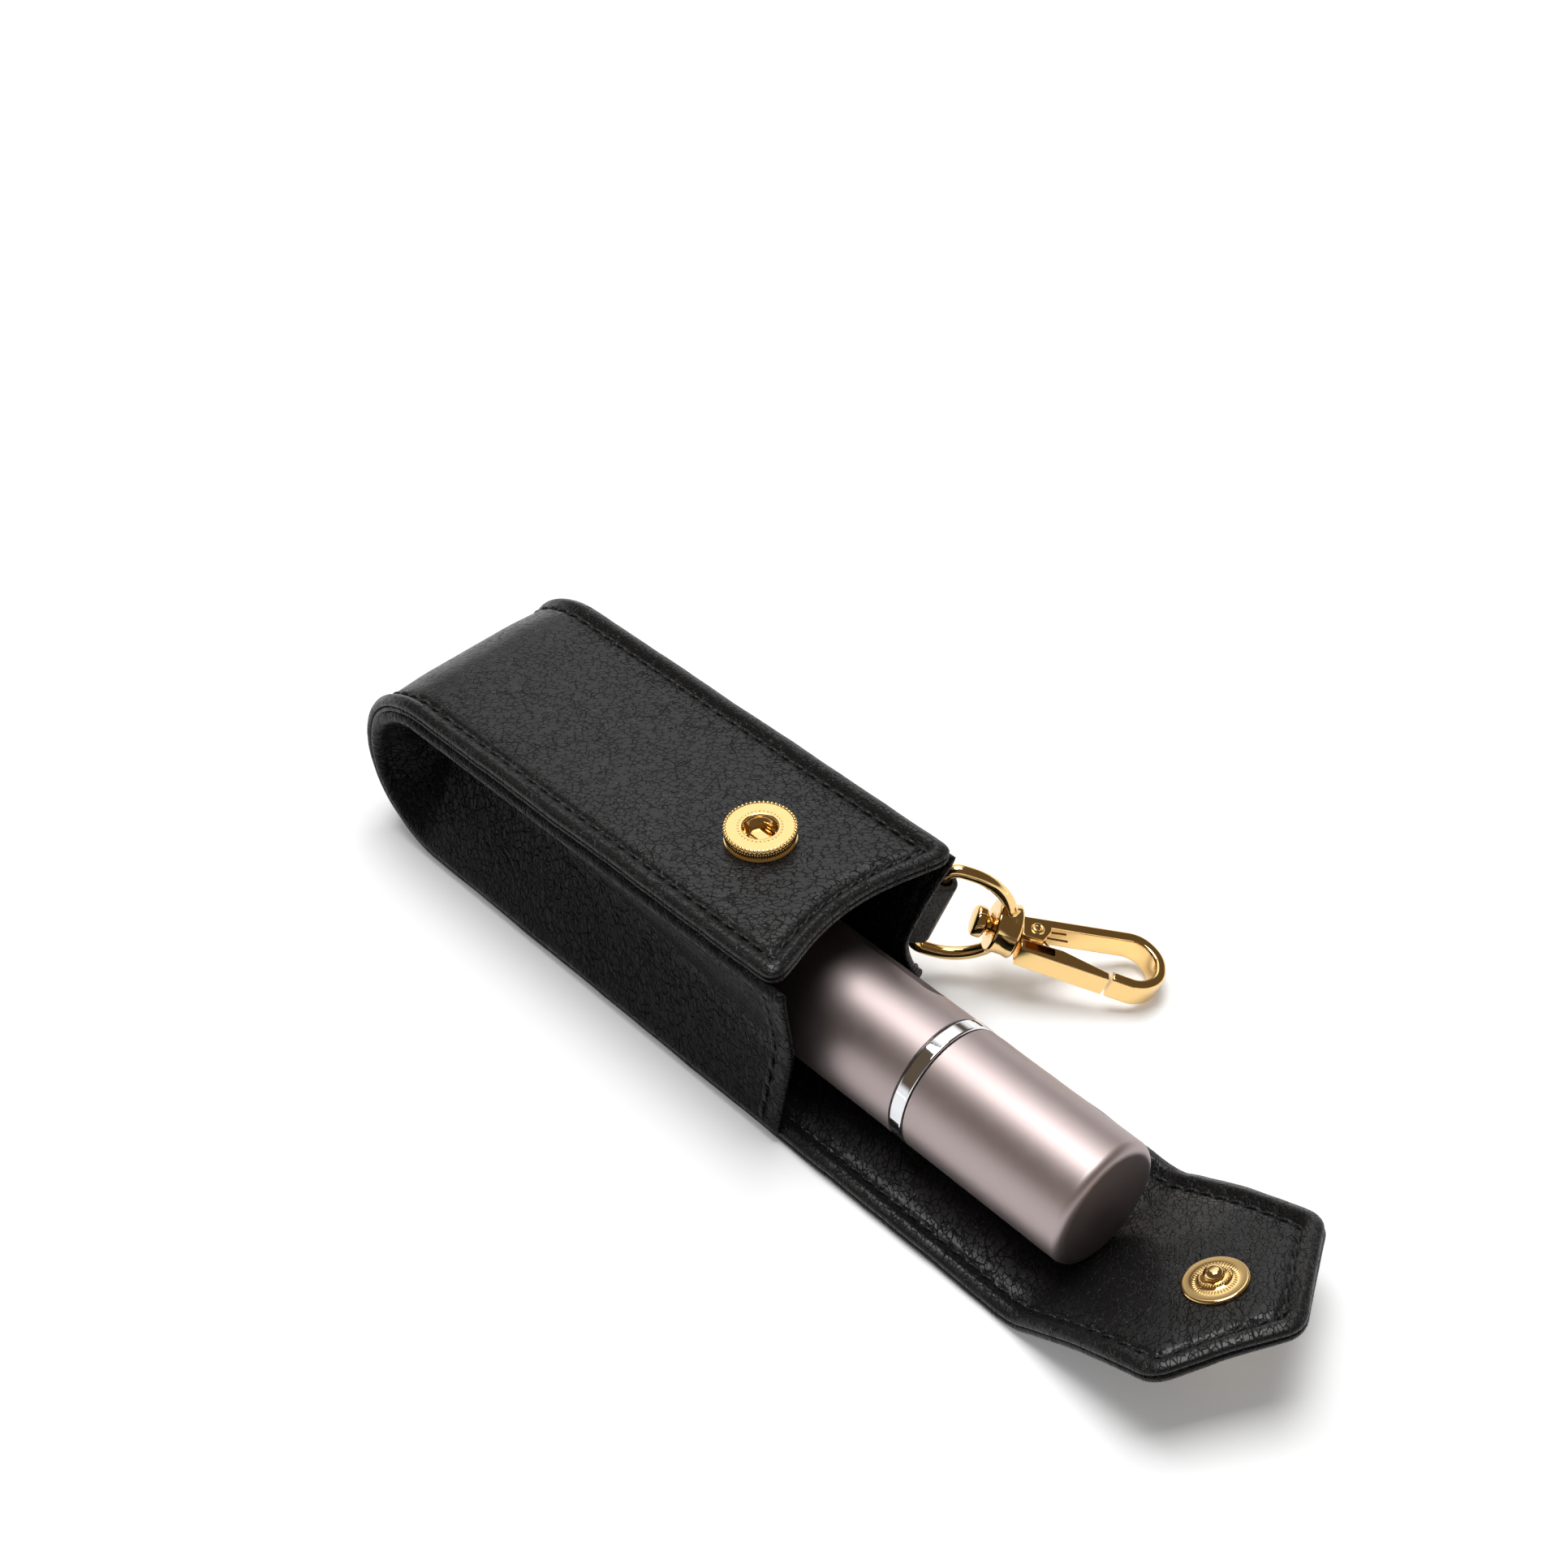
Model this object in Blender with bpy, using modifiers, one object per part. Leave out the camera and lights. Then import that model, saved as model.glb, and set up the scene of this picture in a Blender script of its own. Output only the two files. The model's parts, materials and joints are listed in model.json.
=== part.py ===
"""Leather atomizer case with a snap flap, a swivel hook on a side tab, and the atomizer it carries.

Metres, +Z up. The case lies on its back. The origin is on the underside of the back panel.
+X runs from the closed end to the mouth and the flap, +Y to the side with the hook.
"""

from math import atan2, cos, pi, radians, sin, tan

import bmesh
import bpy
from mathutils import Vector

# Leather layers
OUTER_LEATHER = 0.0009
LINING_LEATHER = 0.00055
LAYER_GAP = 0.00025
WALL = OUTER_LEATHER + LAYER_GAP + LINING_LEATHER
CLEARANCE = 0.0003

# Case
CASE_WIDTH = 0.0310
MOUTH_X = 0.0340
TURN_CENTRE_X = -0.0333
TURN_RADIUS = 0.0135
FRONT_RISE = radians(1.5)
LINING_MARGIN = 0.0004
NOTCH_DEPTH = 0.0026
NOTCH_LAND = 0.0020
GUSSET_LEATHER = 0.0009
GUSSET_INSET = 0.0039
GUSSET_FLANGE_POWER = 4

# Flap
FLAP_ROOT = 0.0037
TONGUE_SLOPES = (
    (0.0, 0.0), (0.0022, 4.0), (0.0055, 32.0), (0.0140, 29.0),
    (0.0195, 22.0), (0.0275, 21.5), (0.0350, 8.0),
)
STUD_ALONG = 0.0224
SHOULDER_ALONG = 0.0260
TIP_ALONG = 0.0350
TIP_FILLET = 0.0028
HINGE_SLIT = 0.0003

# Snap
SOCKET_RADIUS = 0.0046
SOCKET_TOP_RADIUS = 0.0042
SOCKET_HEIGHT = 0.0019
SOCKET_SHOULDER = 0.65
SOCKET_MOUTH_RADIUS = 0.00215
SOCKET_POCKET_RADIUS = 0.0034
SOCKET_FLOOR = 0.00035
SOCKET_LIP = 0.00035
SNAP_WIRE_RADIUS = 0.00022
SNAP_POST_RADIUS = 0.0011
RIVET_HEAD_RADIUS = 0.0034
RIVET_HEAD = 0.0005
RIVET_FLARE = 0.00018
STUD_RADIUS = 0.0042
STUD_DISC = 0.0007
STUD_NECK_RADIUS = 0.00095
STUD_BULB_RADIUS = 0.0013
STUD_HEIGHT = 0.0012
STUD_WALL = 0.0003
STUD_TIP_SHARE = 0.7
STUD_BULB_SHARE = 0.92
STUD_NECK_SHARE = 0.74
STUD_POST_SHARE = 0.35
STUD_POST_RADIUS = STUD_NECK_RADIUS - STUD_WALL - CLEARANCE / 2
CAP_RADIUS = 0.0046
CAP_DOME = 0.0010

# Swivel eye and tab
EYE_YAW = radians(41.0)
EYE_PITCH = radians(19.0)
BAR_BACK = 0.0062
BAR_OUT = 0.0024
BAR_HEIGHT = 0.0125
EYE_WIRE = 0.0009
EYE_HALF_HEIGHT = 0.0075
EYE_DEPTH = 0.0108
EYE_FLAT = 0.0030
EYE_CORNER = 0.0018
COLLAR_RADIUS = 0.0031
COLLAR_BACK = 0.0023
COLLAR_FRONT = 0.0011
STEM_RADIUS = 0.00095
STEM_BACK = 0.0042
SWIVEL_HEAD_RADIUS = 0.0021
SWIVEL_HEAD = 0.0015
TAB_LEATHER = 0.0008
TAB_HALF_WIDTH = 0.0046
TAB_YAW = radians(78.0)
TAB_REACH = 0.0080

# Hook
HOOK_HEIGHT = 0.0036
HOOK_STRIP = 0.0015
HOOK_EDGE = 0.00022
HOOK_LENGTH = 0.0215
HOOK_ARM_ROOT = 0.0009
HOOK_ARM_END = 0.0040
HOOK_NOSE_SIDE = -0.0044
HOOK_NOSE_END = 0.0140
HOOK_FILLET = 0.0030
ROOT_START = 0.0014
ROOT_END = 0.0054
ROOT_BEVEL = 0.00432
ROOT_SIDE = -0.0018
SLOT_HALF = 0.00115
SLOT_START = 0.0019
SLOT_SIDE = 0.0011
PIN_ALONG = 0.0035
PIN_ASIDE = -0.0001
PIN_RADIUS = 0.0005
PIN_HEAD_RADIUS = 0.00085
PIN_HEAD = 0.00015
GATE_START = 0.0016
GATE_GAP = 0.00045
GATE_STRIP = 0.0011
GATE_OUTER_START = -0.0034
GATE_TANG_RADIUS = 0.00095
GATE_TANG_LOW = -0.00100
GATE_TANG_HIGH = -0.00025
SPRING_WIRE = 0.00015
SPRING_RADIUS = 0.00085
SPRING_LOW = 0.00010
SPRING_PITCH = 0.00075
SPRING_LEG = 0.0082
SELF_GAP_WIRES = 12

# Atomizer, along its own axis from its base
ATOMIZER_RADIUS = 0.0085
ATOMIZER_LENGTH = 0.0740
ATOMIZER_OUT = 0.0406
ATOMIZER_ASIDE = -0.0008
CAP_LENGTH = 0.0249
RING_WIDTH = 0.0018
SLEEVE_WALL = 0.0006
CAP_WALL = 0.0008
CAP_END_WALL = 0.0012
CAP_FILLET = 0.0020
WINDOW_DROP = 0.0055
WINDOW_LENGTH = 0.0230
WINDOW_WIDTH = 0.0040
WINDOW_TURN = radians(-48.0)
BASE_RIM = 0.0007
BASE_HEIGHT = 0.0031
BOTTLE_WALL = 0.0009
NECK_LENGTH = 0.0080
NECK_RADIUS = 0.0051
NECK_WALL = 0.0006
COLLAR_SKIRT = 0.0025
COLLAR_RISE = 0.0080
COLLAR_LIP_RISE = 0.0033
COLLAR_LIP = 0.0008
COLLAR_BORE = 0.0054
COLLAR_GRIP_RADIUS = 0.0069
LINER_WALL = 0.0005
LINER_LENGTH = 0.0170
HOUSING_WALL = 0.0007
HOUSING_RADIUS = 0.0041
HOUSING_FLANGE = 0.0016
HOUSING_LENGTH = 0.0116
HOUSING_FLOOR = 0.0030
PUMP_WIRE = 0.00025
PUMP_COIL_RADIUS = 0.0023
PUMP_CURLS = 5
PISTON_DROP = 0.0010
PISTON_HEIGHT = 0.0020
STEM_TUBE_RADIUS = 0.0013
BUTTON_RADIUS = 0.0050
BUTTON_RISE = 0.0085
BUTTON_HEIGHT = 0.0080
BUTTON_SOCKET = 0.0030
NOZZLE_RADIUS = 0.0009
NOZZLE_DEPTH = 0.0012
NOZZLE_RISE = 0.0050
DIP_RADIUS = 0.0012
DIP_BORE = 0.0006
DIP_START = 0.0080
REFILL_PIN_RADIUS = 0.0010
REFILL_HEAD_RADIUS = 0.0017
REFILL_SEAL_RADIUS = 0.0026
REFILL_POCKET_RADIUS = 0.0024
REFILL_POCKET = 0.0026
REFILL_WIRE = 0.00012
REFILL_COIL_RADIUS = 0.00150
REFILL_CURLS = 2
CAP_START = ATOMIZER_LENGTH - CAP_LENGTH
RING_START = CAP_START - CLEARANCE - RING_WIDTH
SLEEVE_END = RING_START - CLEARANCE
BUTTON_START = RING_START + BUTTON_RISE
PISTON_START = RING_START - PISTON_DROP

ROUND_STEPS = 40
FINE_STEPS = 24
POST_STEPS = 20
OVERSHOOT = 0.002

LEATHER = ((0.012, 0.012, 0.013, 1.0), 0.55, 0.0)
LINING = ((0.014, 0.014, 0.015, 1.0), 0.60, 0.0)
GOLD = ((0.86, 0.62, 0.28, 1.0), 0.16, 1.0)
STEEL = ((0.62, 0.62, 0.63, 1.0), 0.25, 1.0)
MAUVE = ((0.42, 0.34, 0.35, 1.0), 0.32, 0.85)
CHROME = ((0.80, 0.81, 0.83, 1.0), 0.06, 1.0)
CLEAR = ((0.80, 0.78, 0.76, 1.0), 0.10, 0.0)
PLASTIC = ((0.70, 0.70, 0.70, 1.0), 0.40, 0.0)


def start_scene():
    """Remove what the scene holds and make the two collections."""
    for old in list(bpy.data.objects):
        bpy.data.objects.remove(old, do_unlink=True)
    parts = bpy.data.collections.new("atomizer_case")
    cutters = bpy.data.collections.new("cutters")
    bpy.context.scene.collection.children.link(parts)
    bpy.context.scene.collection.children.link(cutters)
    return parts, cutters


PARTS, CUTTERS = start_scene()


def material(name, look):
    """Make a plain material for one piece."""
    colour, roughness, metallic = look
    made = bpy.data.materials.new(name)
    made.use_nodes = True
    shader = made.node_tree.nodes["Principled BSDF"]
    shader.inputs["Base Color"].default_value = colour
    shader.inputs["Roughness"].default_value = roughness
    shader.inputs["Metallic"].default_value = metallic
    return made


def pivot(name, location, rotation=(0.0, 0.0, 0.0), parent=None):
    """Make an empty on a joint's axis or at a seat."""
    empty = bpy.data.objects.new(name, None)
    empty.empty_display_size = 0.004
    empty.location = location
    empty.rotation_euler = rotation
    empty.parent = parent
    PARTS.objects.link(empty)
    return empty


def part(name, data, look, parent=None):
    """Add one named piece of the object."""
    made = bpy.data.objects.new(name, data)
    data.materials.append(material(name, look))
    made.parent = parent
    PARTS.objects.link(made)
    return made


def cutter(name, data, parent=None):
    """Add one piece that only shapes another."""
    made = bpy.data.objects.new(name, data)
    made.parent = parent
    made.hide_render = True
    made.display_type = "WIRE"
    CUTTERS.objects.link(made)
    return made


def boolean(target, other, operation):
    """Cut a piece with a cutter, or join it to one."""
    step = target.modifiers.new(other.name, "BOOLEAN")
    step.operation = operation
    step.object = other
    step.solver = "EXACT"


def solidify(target, thickness, offset):
    """Give an open surface its thickness."""
    step = target.modifiers.new("thickness", "SOLIDIFY")
    step.thickness = thickness
    step.offset = offset
    step.use_even_offset = True


def screw(target, steps):
    """Turn a profile once round its Z axis."""
    step = target.modifiers.new("turn", "SCREW")
    step.axis = "Z"
    step.angle = 2 * pi
    step.steps = steps
    step.render_steps = steps
    step.use_merge_vertices = True
    step.merge_threshold = 0.00001
    step.use_smooth_shade = True


def profile_mesh(name, points, closed):
    """Make a turned piece's profile from radius and height pairs, outer side first, top to bottom."""
    mesh = bpy.data.meshes.new(name)
    edges = [(index, index + 1) for index in range(len(points) - 1)]
    if closed:
        edges.append((len(points) - 1, 0))
    mesh.from_pydata([(radius, 0.0, height) for radius, height in points], edges, [])
    return mesh


def turned(name, points, look, parent, steps=ROUND_STEPS, closed=False):
    """Add a turned piece."""
    made = part(name, profile_mesh(name, points, closed), look, parent)
    screw(made, steps)
    return made


def turned_cutter(name, points, parent, steps=POST_STEPS):
    """Add a turned cutter."""
    made = cutter(name, profile_mesh(name, points, False), parent)
    screw(made, steps)
    return made


def rod_points(radius, bottom, top):
    """Profile of a plain rod."""
    return [(0.0, top), (radius, top), (radius, bottom), (0.0, bottom)]


def box_mesh(name, low, high):
    """Make a box between two corners."""
    mesh = bpy.data.meshes.new(name)
    shape = bmesh.new()
    bmesh.ops.create_cube(shape, size=1.0)
    low, high = Vector(low), Vector(high)
    for vertex in shape.verts:
        vertex.co = (low + high) / 2 + Vector(a * b for a, b in zip(vertex.co, high - low))
    shape.to_mesh(mesh)
    shape.free()
    return mesh


def mesh_from_curve(name, curve):
    """Make a closed mesh from a curve and drop the curve."""
    holder = bpy.data.objects.new(name + "_curve", curve)
    bpy.context.scene.collection.objects.link(holder)
    seen = holder.evaluated_get(bpy.context.evaluated_depsgraph_get())
    mesh = bpy.data.meshes.new_from_object(seen)
    mesh.name = name
    shape = bmesh.new()
    shape.from_mesh(mesh)
    bmesh.ops.remove_doubles(shape, verts=shape.verts, dist=0.000001)
    bmesh.ops.recalc_face_normals(shape, faces=shape.faces)
    shape.to_mesh(mesh)
    shape.free()
    bpy.data.objects.remove(holder)
    bpy.data.curves.remove(curve)
    return mesh


def wire_mesh(name, points, radius, cyclic=False, resolution=2):
    """Make a round wire along points."""
    curve = bpy.data.curves.new(name, "CURVE")
    curve.dimensions = "3D"
    curve.bevel_depth = radius
    curve.bevel_resolution = resolution
    curve.use_fill_caps = True
    spline = curve.splines.new("POLY")
    spline.points.add(len(points) - 1)
    for place, point in zip(spline.points, points):
        place.co = (*point, 1.0)
    spline.use_cyclic_u = cyclic
    return mesh_from_curve(name, curve)


def plate_mesh(name, outline, thickness, edge=0.0):
    """Make a flat plate from an outline, with softened edges."""
    curve = bpy.data.curves.new(name, "CURVE")
    curve.dimensions = "2D"
    curve.fill_mode = "BOTH"
    curve.extrude = thickness / 2 - edge
    curve.bevel_depth = edge
    curve.bevel_resolution = 1
    curve.offset = -edge
    spline = curve.splines.new("POLY")
    spline.points.add(len(outline) - 1)
    for place, point in zip(spline.points, outline):
        place.co = (*point, 0.0, 1.0)
    spline.use_cyclic_u = True
    return mesh_from_curve(name, curve)


def fillet(before, corner, after, radius, steps):
    """Points of the arc that rounds one corner of a plane path."""
    back = (Vector(before) - Vector(corner)).normalized()
    ahead = (Vector(after) - Vector(corner)).normalized()
    half = back.angle(ahead) / 2
    middle = (back + ahead).normalized()
    centre = Vector(corner) + middle * (radius / sin(half))
    start = Vector(corner) + back * (radius / tan(half)) - centre
    end = Vector(corner) + ahead * (radius / tan(half)) - centre
    first = atan2(start.y, start.x)
    sweep = (atan2(end.y, end.x) - first + pi) % (2 * pi) - pi
    turn = [first + sweep * step / steps for step in range(steps + 1)]
    return [(centre.x + radius * cos(a), centre.y + radius * sin(a)) for a in turn]


def rounded(points, radius, steps=6):
    """Round the inner corners of a plane path."""
    path = [points[0]]
    for before, corner, after in zip(points, points[1:], points[2:]):
        path += fillet(before, corner, after, radius, steps)
    path.append(points[-1])
    return path


def beside(path, distance):
    """Points at one distance to the left of a plane path."""
    moved = []
    for index, point in enumerate(path):
        behind = Vector(path[max(index - 1, 0)])
        ahead = Vector(path[min(index + 1, len(path) - 1)])
        along = (ahead - behind).normalized()
        moved.append((point[0] - along.y * distance, point[1] + along.x * distance))
    return moved


def front_height(x, depth=0.0):
    """Height of the front panel at x, counted down from its outer face."""
    foot = TURN_CENTRE_X - (TURN_RADIUS - depth) * sin(FRONT_RISE)
    return TURN_RADIUS + (TURN_RADIUS - depth) * cos(FRONT_RISE) + (x - foot) * tan(FRONT_RISE)


def wrap_path(depth, back_end, front_end, arc_steps=22):
    """Side view of the wrap at one depth under its outer face, from the back panel to the front panel."""
    radius = TURN_RADIUS - depth
    path = [(back_end, depth)]
    for step in range(arc_steps + 1):
        turn = -pi / 2 - (pi - FRONT_RISE) * step / arc_steps
        path.append((TURN_CENTRE_X + radius * cos(turn), TURN_RADIUS + radius * sin(turn)))
    path.append((front_end, front_height(front_end, depth)))
    return path


def tongue_path(depth, steps=34, length=TIP_ALONG):
    """Side view of the open tongue at one height over its middle, with the distance and slope there."""
    rows = []
    place = Vector((0.0, 0.0))
    piece = length / (steps * 4)
    for index in range(steps * 4 + 1):
        along = piece * index
        slope = tongue_slope(along)
        if index % 4 == 0:
            rows.append((along, place.x - sin(slope) * depth, place.y + cos(slope) * depth))
        place = place + Vector((cos(slope), sin(slope))) * piece
    return rows


def tongue_slope(along):
    """Slope of the open tongue at one distance from its fold."""
    for (start, low), (end, high) in zip(TONGUE_SLOPES, TONGUE_SLOPES[1:]):
        if along <= end:
            return radians(low + (high - low) * (along - start) / (end - start))
    return radians(TONGUE_SLOPES[-1][1])


def tongue_half_width(along, half_width):
    """Half width of the pointed tongue at one distance from its fold."""
    shoulder = (SHOULDER_ALONG, half_width)
    other_shoulder = (SHOULDER_ALONG, -half_width)
    outline = [(0.0, half_width), shoulder, (TIP_ALONG, 0.0), other_shoulder]
    edge = [point for point in rounded(outline, TIP_FILLET, 8) if point[1] >= 0.0]
    edge.append((TIP_ALONG, 0.0))
    for (start, low), (end, high) in zip(edge, edge[1:]):
        if along <= end and end > start:
            return max(low + (high - low) * (along - start) / (end - start), 0.0)
    return 0.0


def tongue_end():
    """Distance from the fold to the rounded point."""
    reach = TIP_ALONG - SHOULDER_ALONG
    half_angle = atan2(CASE_WIDTH / 2, reach)
    return TIP_ALONG - TIP_FILLET * (1 / sin(half_angle) - 1)


def stud_place():
    """Place and slope of the stud on the middle of the open tongue, seen from its fold."""
    along, x, z = tongue_path(0.0, 40, STUD_ALONG)[-1]
    return x, z, tongue_slope(along)


# How the closed flap meets the front panel
SNAP_STACK = SOCKET_HEIGHT + CLEARANCE + STUD_DISC + WALL / 2
STUD_X, STUD_Z, STUD_SLOPE = stud_place()
TONGUE_TURN = pi + FRONT_RISE - STUD_SLOPE
CLOSED_X = STUD_X * cos(TONGUE_TURN) - STUD_Z * sin(TONGUE_TURN)
CLOSED_Z = STUD_X * sin(TONGUE_TURN) + STUD_Z * cos(TONGUE_TURN)
ROOT_X = MOUTH_X + FLAP_ROOT
SOCKET_X = ROOT_X + CLOSED_X + SNAP_STACK * sin(FRONT_RISE)
BRIDGE_LENGTH = front_height(SOCKET_X) + SNAP_STACK * cos(FRONT_RISE) - CLOSED_Z - WALL / 2
FOLD_X = ROOT_X + BRIDGE_LENGTH
ATOMIZER_BASE_X = MOUTH_X + ATOMIZER_OUT - ATOMIZER_LENGTH
ATOMIZER_Z = WALL + CLEARANCE + ATOMIZER_RADIUS
ATOMIZER_TRAVEL = MOUTH_X + ATOMIZER_OUT - (ROOT_X - WALL / 2 - CLEARANCE)

OUTER_DEPTH = OUTER_LEATHER / 2
LINING_DEPTH = WALL - LINING_LEATHER / 2
LINING_WIDTH = CASE_WIDTH - 2 * LINING_MARGIN


def ribbon_mesh(name, rows):
    """Make an open strip from rows of x, z and half width."""
    mesh = bpy.data.meshes.new(name)
    shape = bmesh.new()
    lines = []
    for x, z, half_width in rows:
        lines.append((shape.verts.new((x, -half_width, z)), shape.verts.new((x, half_width, z))))
    for (left, right), (next_left, next_right) in zip(lines, lines[1:]):
        shape.faces.new((left, right, next_right, next_left))
    shape.to_mesh(mesh)
    shape.free()
    return mesh


def notch_cutter():
    """Cutter for the hollow in the front panel's mouth edge."""
    half_chord = CASE_WIDTH / 2 - NOTCH_LAND
    radius = (half_chord ** 2 + NOTCH_DEPTH ** 2) / (2 * NOTCH_DEPTH)
    top = front_height(MOUTH_X) + OVERSHOOT
    made = turned_cutter("mouth_notch", rod_points(radius, TURN_RADIUS, top), None, 4 * ROUND_STEPS)
    made.location.x = MOUTH_X + radius - NOTCH_DEPTH
    return made


def wrap_layer(name, depth, thickness, width, look, cutters):
    """Add one leather layer of the wrap."""
    path = wrap_path(depth, ROOT_X - HINGE_SLIT / 2, MOUTH_X)
    made = part(name, ribbon_mesh(name, [(x, z, width / 2) for x, z in path]), look)
    solidify(made, thickness, 0.0)
    for tool in cutters:
        boolean(made, tool, "DIFFERENCE")
    return made


def gusset_rows():
    """Side view points of a gusset's edge, each with the point on its middle line that it runs to."""
    depth = WALL + CLEARANCE
    radius = TURN_RADIUS - depth
    straight = 12
    arc = 16
    mouth = MOUTH_X - CLEARANCE
    rows = []
    stations = [mouth + (TURN_CENTRE_X - mouth) * step / straight for step in range(straight + 1)]
    middle = [(x, (depth + front_height(x, depth)) / 2) for x in stations]
    middle[-1] = (TURN_CENTRE_X, TURN_RADIUS)
    for x, centre in zip(stations, middle):
        rows.append(((x, depth), centre))
    for step in range(1, arc):
        turn = -pi / 2 - pi * step / arc
        rows.append(((TURN_CENTRE_X + radius * cos(turn), TURN_RADIUS + radius * sin(turn)), middle[-1]))
    for x, centre in reversed(list(zip(stations, middle))):
        rows.append(((x, front_height(x, depth)), centre))
    return rows


def gusset(name, side):
    """Add a drawn-in side wall, whose turned-out edge lies on the wrap."""
    steps = (0.0, 0.012, 0.035, 0.07, 0.12, 0.20, 0.35, 0.6, 1.0)
    edge_y = CASE_WIDTH / 2 - CLEARANCE
    shape = bmesh.new()
    lines = []
    for (x, z), (middle_x, middle_z) in gusset_rows():
        line = []
        for share in steps:
            inset = GUSSET_INSET * (1 - (1 - share) ** GUSSET_FLANGE_POWER) ** 0.5
            place = (x + (middle_x - x) * share, side * (edge_y - inset), z + (middle_z - z) * share)
            line.append(shape.verts.new(place))
        lines.append(line)
    for line, following in zip(lines, lines[1:]):
        for index in range(len(steps) - 1):
            corners = [line[index], line[index + 1], following[index + 1], following[index]]
            shape.faces.new(corners if side < 0 else corners[::-1])
    bmesh.ops.remove_doubles(shape, verts=shape.verts, dist=0.000001)
    bmesh.ops.dissolve_degenerate(shape, edges=shape.edges, dist=0.000001)
    mesh = bpy.data.meshes.new(name)
    shape.to_mesh(mesh)
    shape.free()
    made = part(name, mesh, LEATHER)
    solidify(made, GUSSET_LEATHER, 1.0)
    return made


def case_shell():
    """Add the wrap, its lining and the gussets."""
    notch = notch_cutter()
    seat = socket_seat()
    hole = turned_cutter("rivet_hole", rod_points(SNAP_POST_RADIUS + CLEARANCE, -WALL * 2, OVERSHOOT), seat)
    wrap_layer("outer_wrap", OUTER_DEPTH, OUTER_LEATHER, CASE_WIDTH, LEATHER, (notch, hole))
    wrap_layer("wrap_lining", LINING_DEPTH, LINING_LEATHER, LINING_WIDTH, LINING, (notch, hole))
    gusset("left_gusset", -1)
    gusset("right_gusset", 1)
    return seat


def socket_seat():
    """Empty on the front panel where the socket sits."""
    place = (SOCKET_X, 0.0, front_height(SOCKET_X))
    return pivot("socket_seat", place, (0.0, -FRONT_RISE, 0.0))


def snap_socket(seat):
    """Add the snap's female half: shell, wire spring and rivet."""
    lip = SOCKET_HEIGHT - SOCKET_LIP
    bore = SNAP_POST_RADIUS + CLEARANCE / 2
    turned("socket_shell", [
        (SOCKET_MOUTH_RADIUS, SOCKET_HEIGHT),
        (SOCKET_TOP_RADIUS, SOCKET_HEIGHT),
        (SOCKET_RADIUS, SOCKET_HEIGHT * SOCKET_SHOULDER),
        (SOCKET_RADIUS, CLEARANCE),
        (bore, CLEARANCE),
        (bore, CLEARANCE + SOCKET_FLOOR),
        (SOCKET_POCKET_RADIUS, CLEARANCE + SOCKET_FLOOR),
        (SOCKET_POCKET_RADIUS, lip),
        (SOCKET_MOUTH_RADIUS, lip),
    ], GOLD, seat, ROUND_STEPS, True)
    socket_spring(seat, (lip + CLEARANCE + SOCKET_FLOOR) / 2 + CLEARANCE / 2)
    flare = CLEARANCE + SOCKET_FLOOR + RIVET_FLARE
    inside = -WALL - CLEARANCE
    turned("socket_rivet", [
        (0.0, flare + CLEARANCE / 4),
        (bore + CLEARANCE, flare + CLEARANCE / 4),
        (bore + CLEARANCE, flare - RIVET_FLARE + CLEARANCE / 4),
        (SNAP_POST_RADIUS, flare - RIVET_FLARE + CLEARANCE / 4),
        (SNAP_POST_RADIUS, inside),
        (RIVET_HEAD_RADIUS, inside),
        (RIVET_HEAD_RADIUS, inside - RIVET_HEAD),
        (0.0, inside - RIVET_HEAD),
    ], STEEL, seat, FINE_STEPS)


def socket_spring(seat, height):
    """Add the hairpin wire that grips the stud."""
    aside = STUD_NECK_RADIUS + SNAP_WIRE_RADIUS + CLEARANCE / 2
    reach = SOCKET_POCKET_RADIUS - 2 * SNAP_WIRE_RADIUS - CLEARANCE
    straight = (reach ** 2 - aside ** 2) ** 0.5
    first = atan2(aside, straight)
    points = [(-straight, aside, height)]
    for step in range(11):
        turn = first - 2 * first * step / 10
        points.append((reach * cos(turn), reach * sin(turn), height))
    points.append((-straight, -aside, height))
    part("socket_spring", wire_mesh("socket_spring", points, SNAP_WIRE_RADIUS), STEEL, seat)


def flap(root, fold):
    """Add both layers of the bridge and of the tongue, with the hole for the stud's post."""
    seat = pivot("stud_seat", (STUD_X, 0.0, STUD_Z), (0.0, -STUD_SLOPE, 0.0), fold)
    hole = turned_cutter("stud_hole", rod_points(STUD_POST_RADIUS + CLEARANCE, -WALL, WALL), seat)
    layers = (
        ("outer", OUTER_DEPTH, OUTER_LEATHER, CASE_WIDTH, LEATHER),
        ("lining", LINING_DEPTH, LINING_LEATHER, LINING_WIDTH, LINING),
    )
    ends = (HINGE_SLIT / 2, BRIDGE_LENGTH - HINGE_SLIT / 2)
    for layer, depth, thickness, width, look in layers:
        height = depth - WALL / 2
        rows = [(x, height, width / 2) for x in ends]
        bridge = part("bridge_" + layer, ribbon_mesh("bridge_" + layer, rows), look, root)
        solidify(bridge, thickness, 0.0)
        tongue = part("tongue_" + layer, tongue_mesh("tongue_" + layer, height, width), look, fold)
        solidify(tongue, thickness, 0.0)
        boolean(tongue, hole, "DIFFERENCE")
    return seat


def tongue_mesh(name, height, width):
    """Make one open layer of the pointed tongue."""
    margin = (CASE_WIDTH - width) / 2
    last = tongue_end() - margin - CLEARANCE
    rows = []
    for along, x, z in tongue_path(height, 34, last):
        half_width = tongue_half_width(along + margin, CASE_WIDTH / 2) - margin
        rows.append((max(x, HINGE_SLIT / 2), z, half_width))
    return ribbon_mesh(name, rows)


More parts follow.
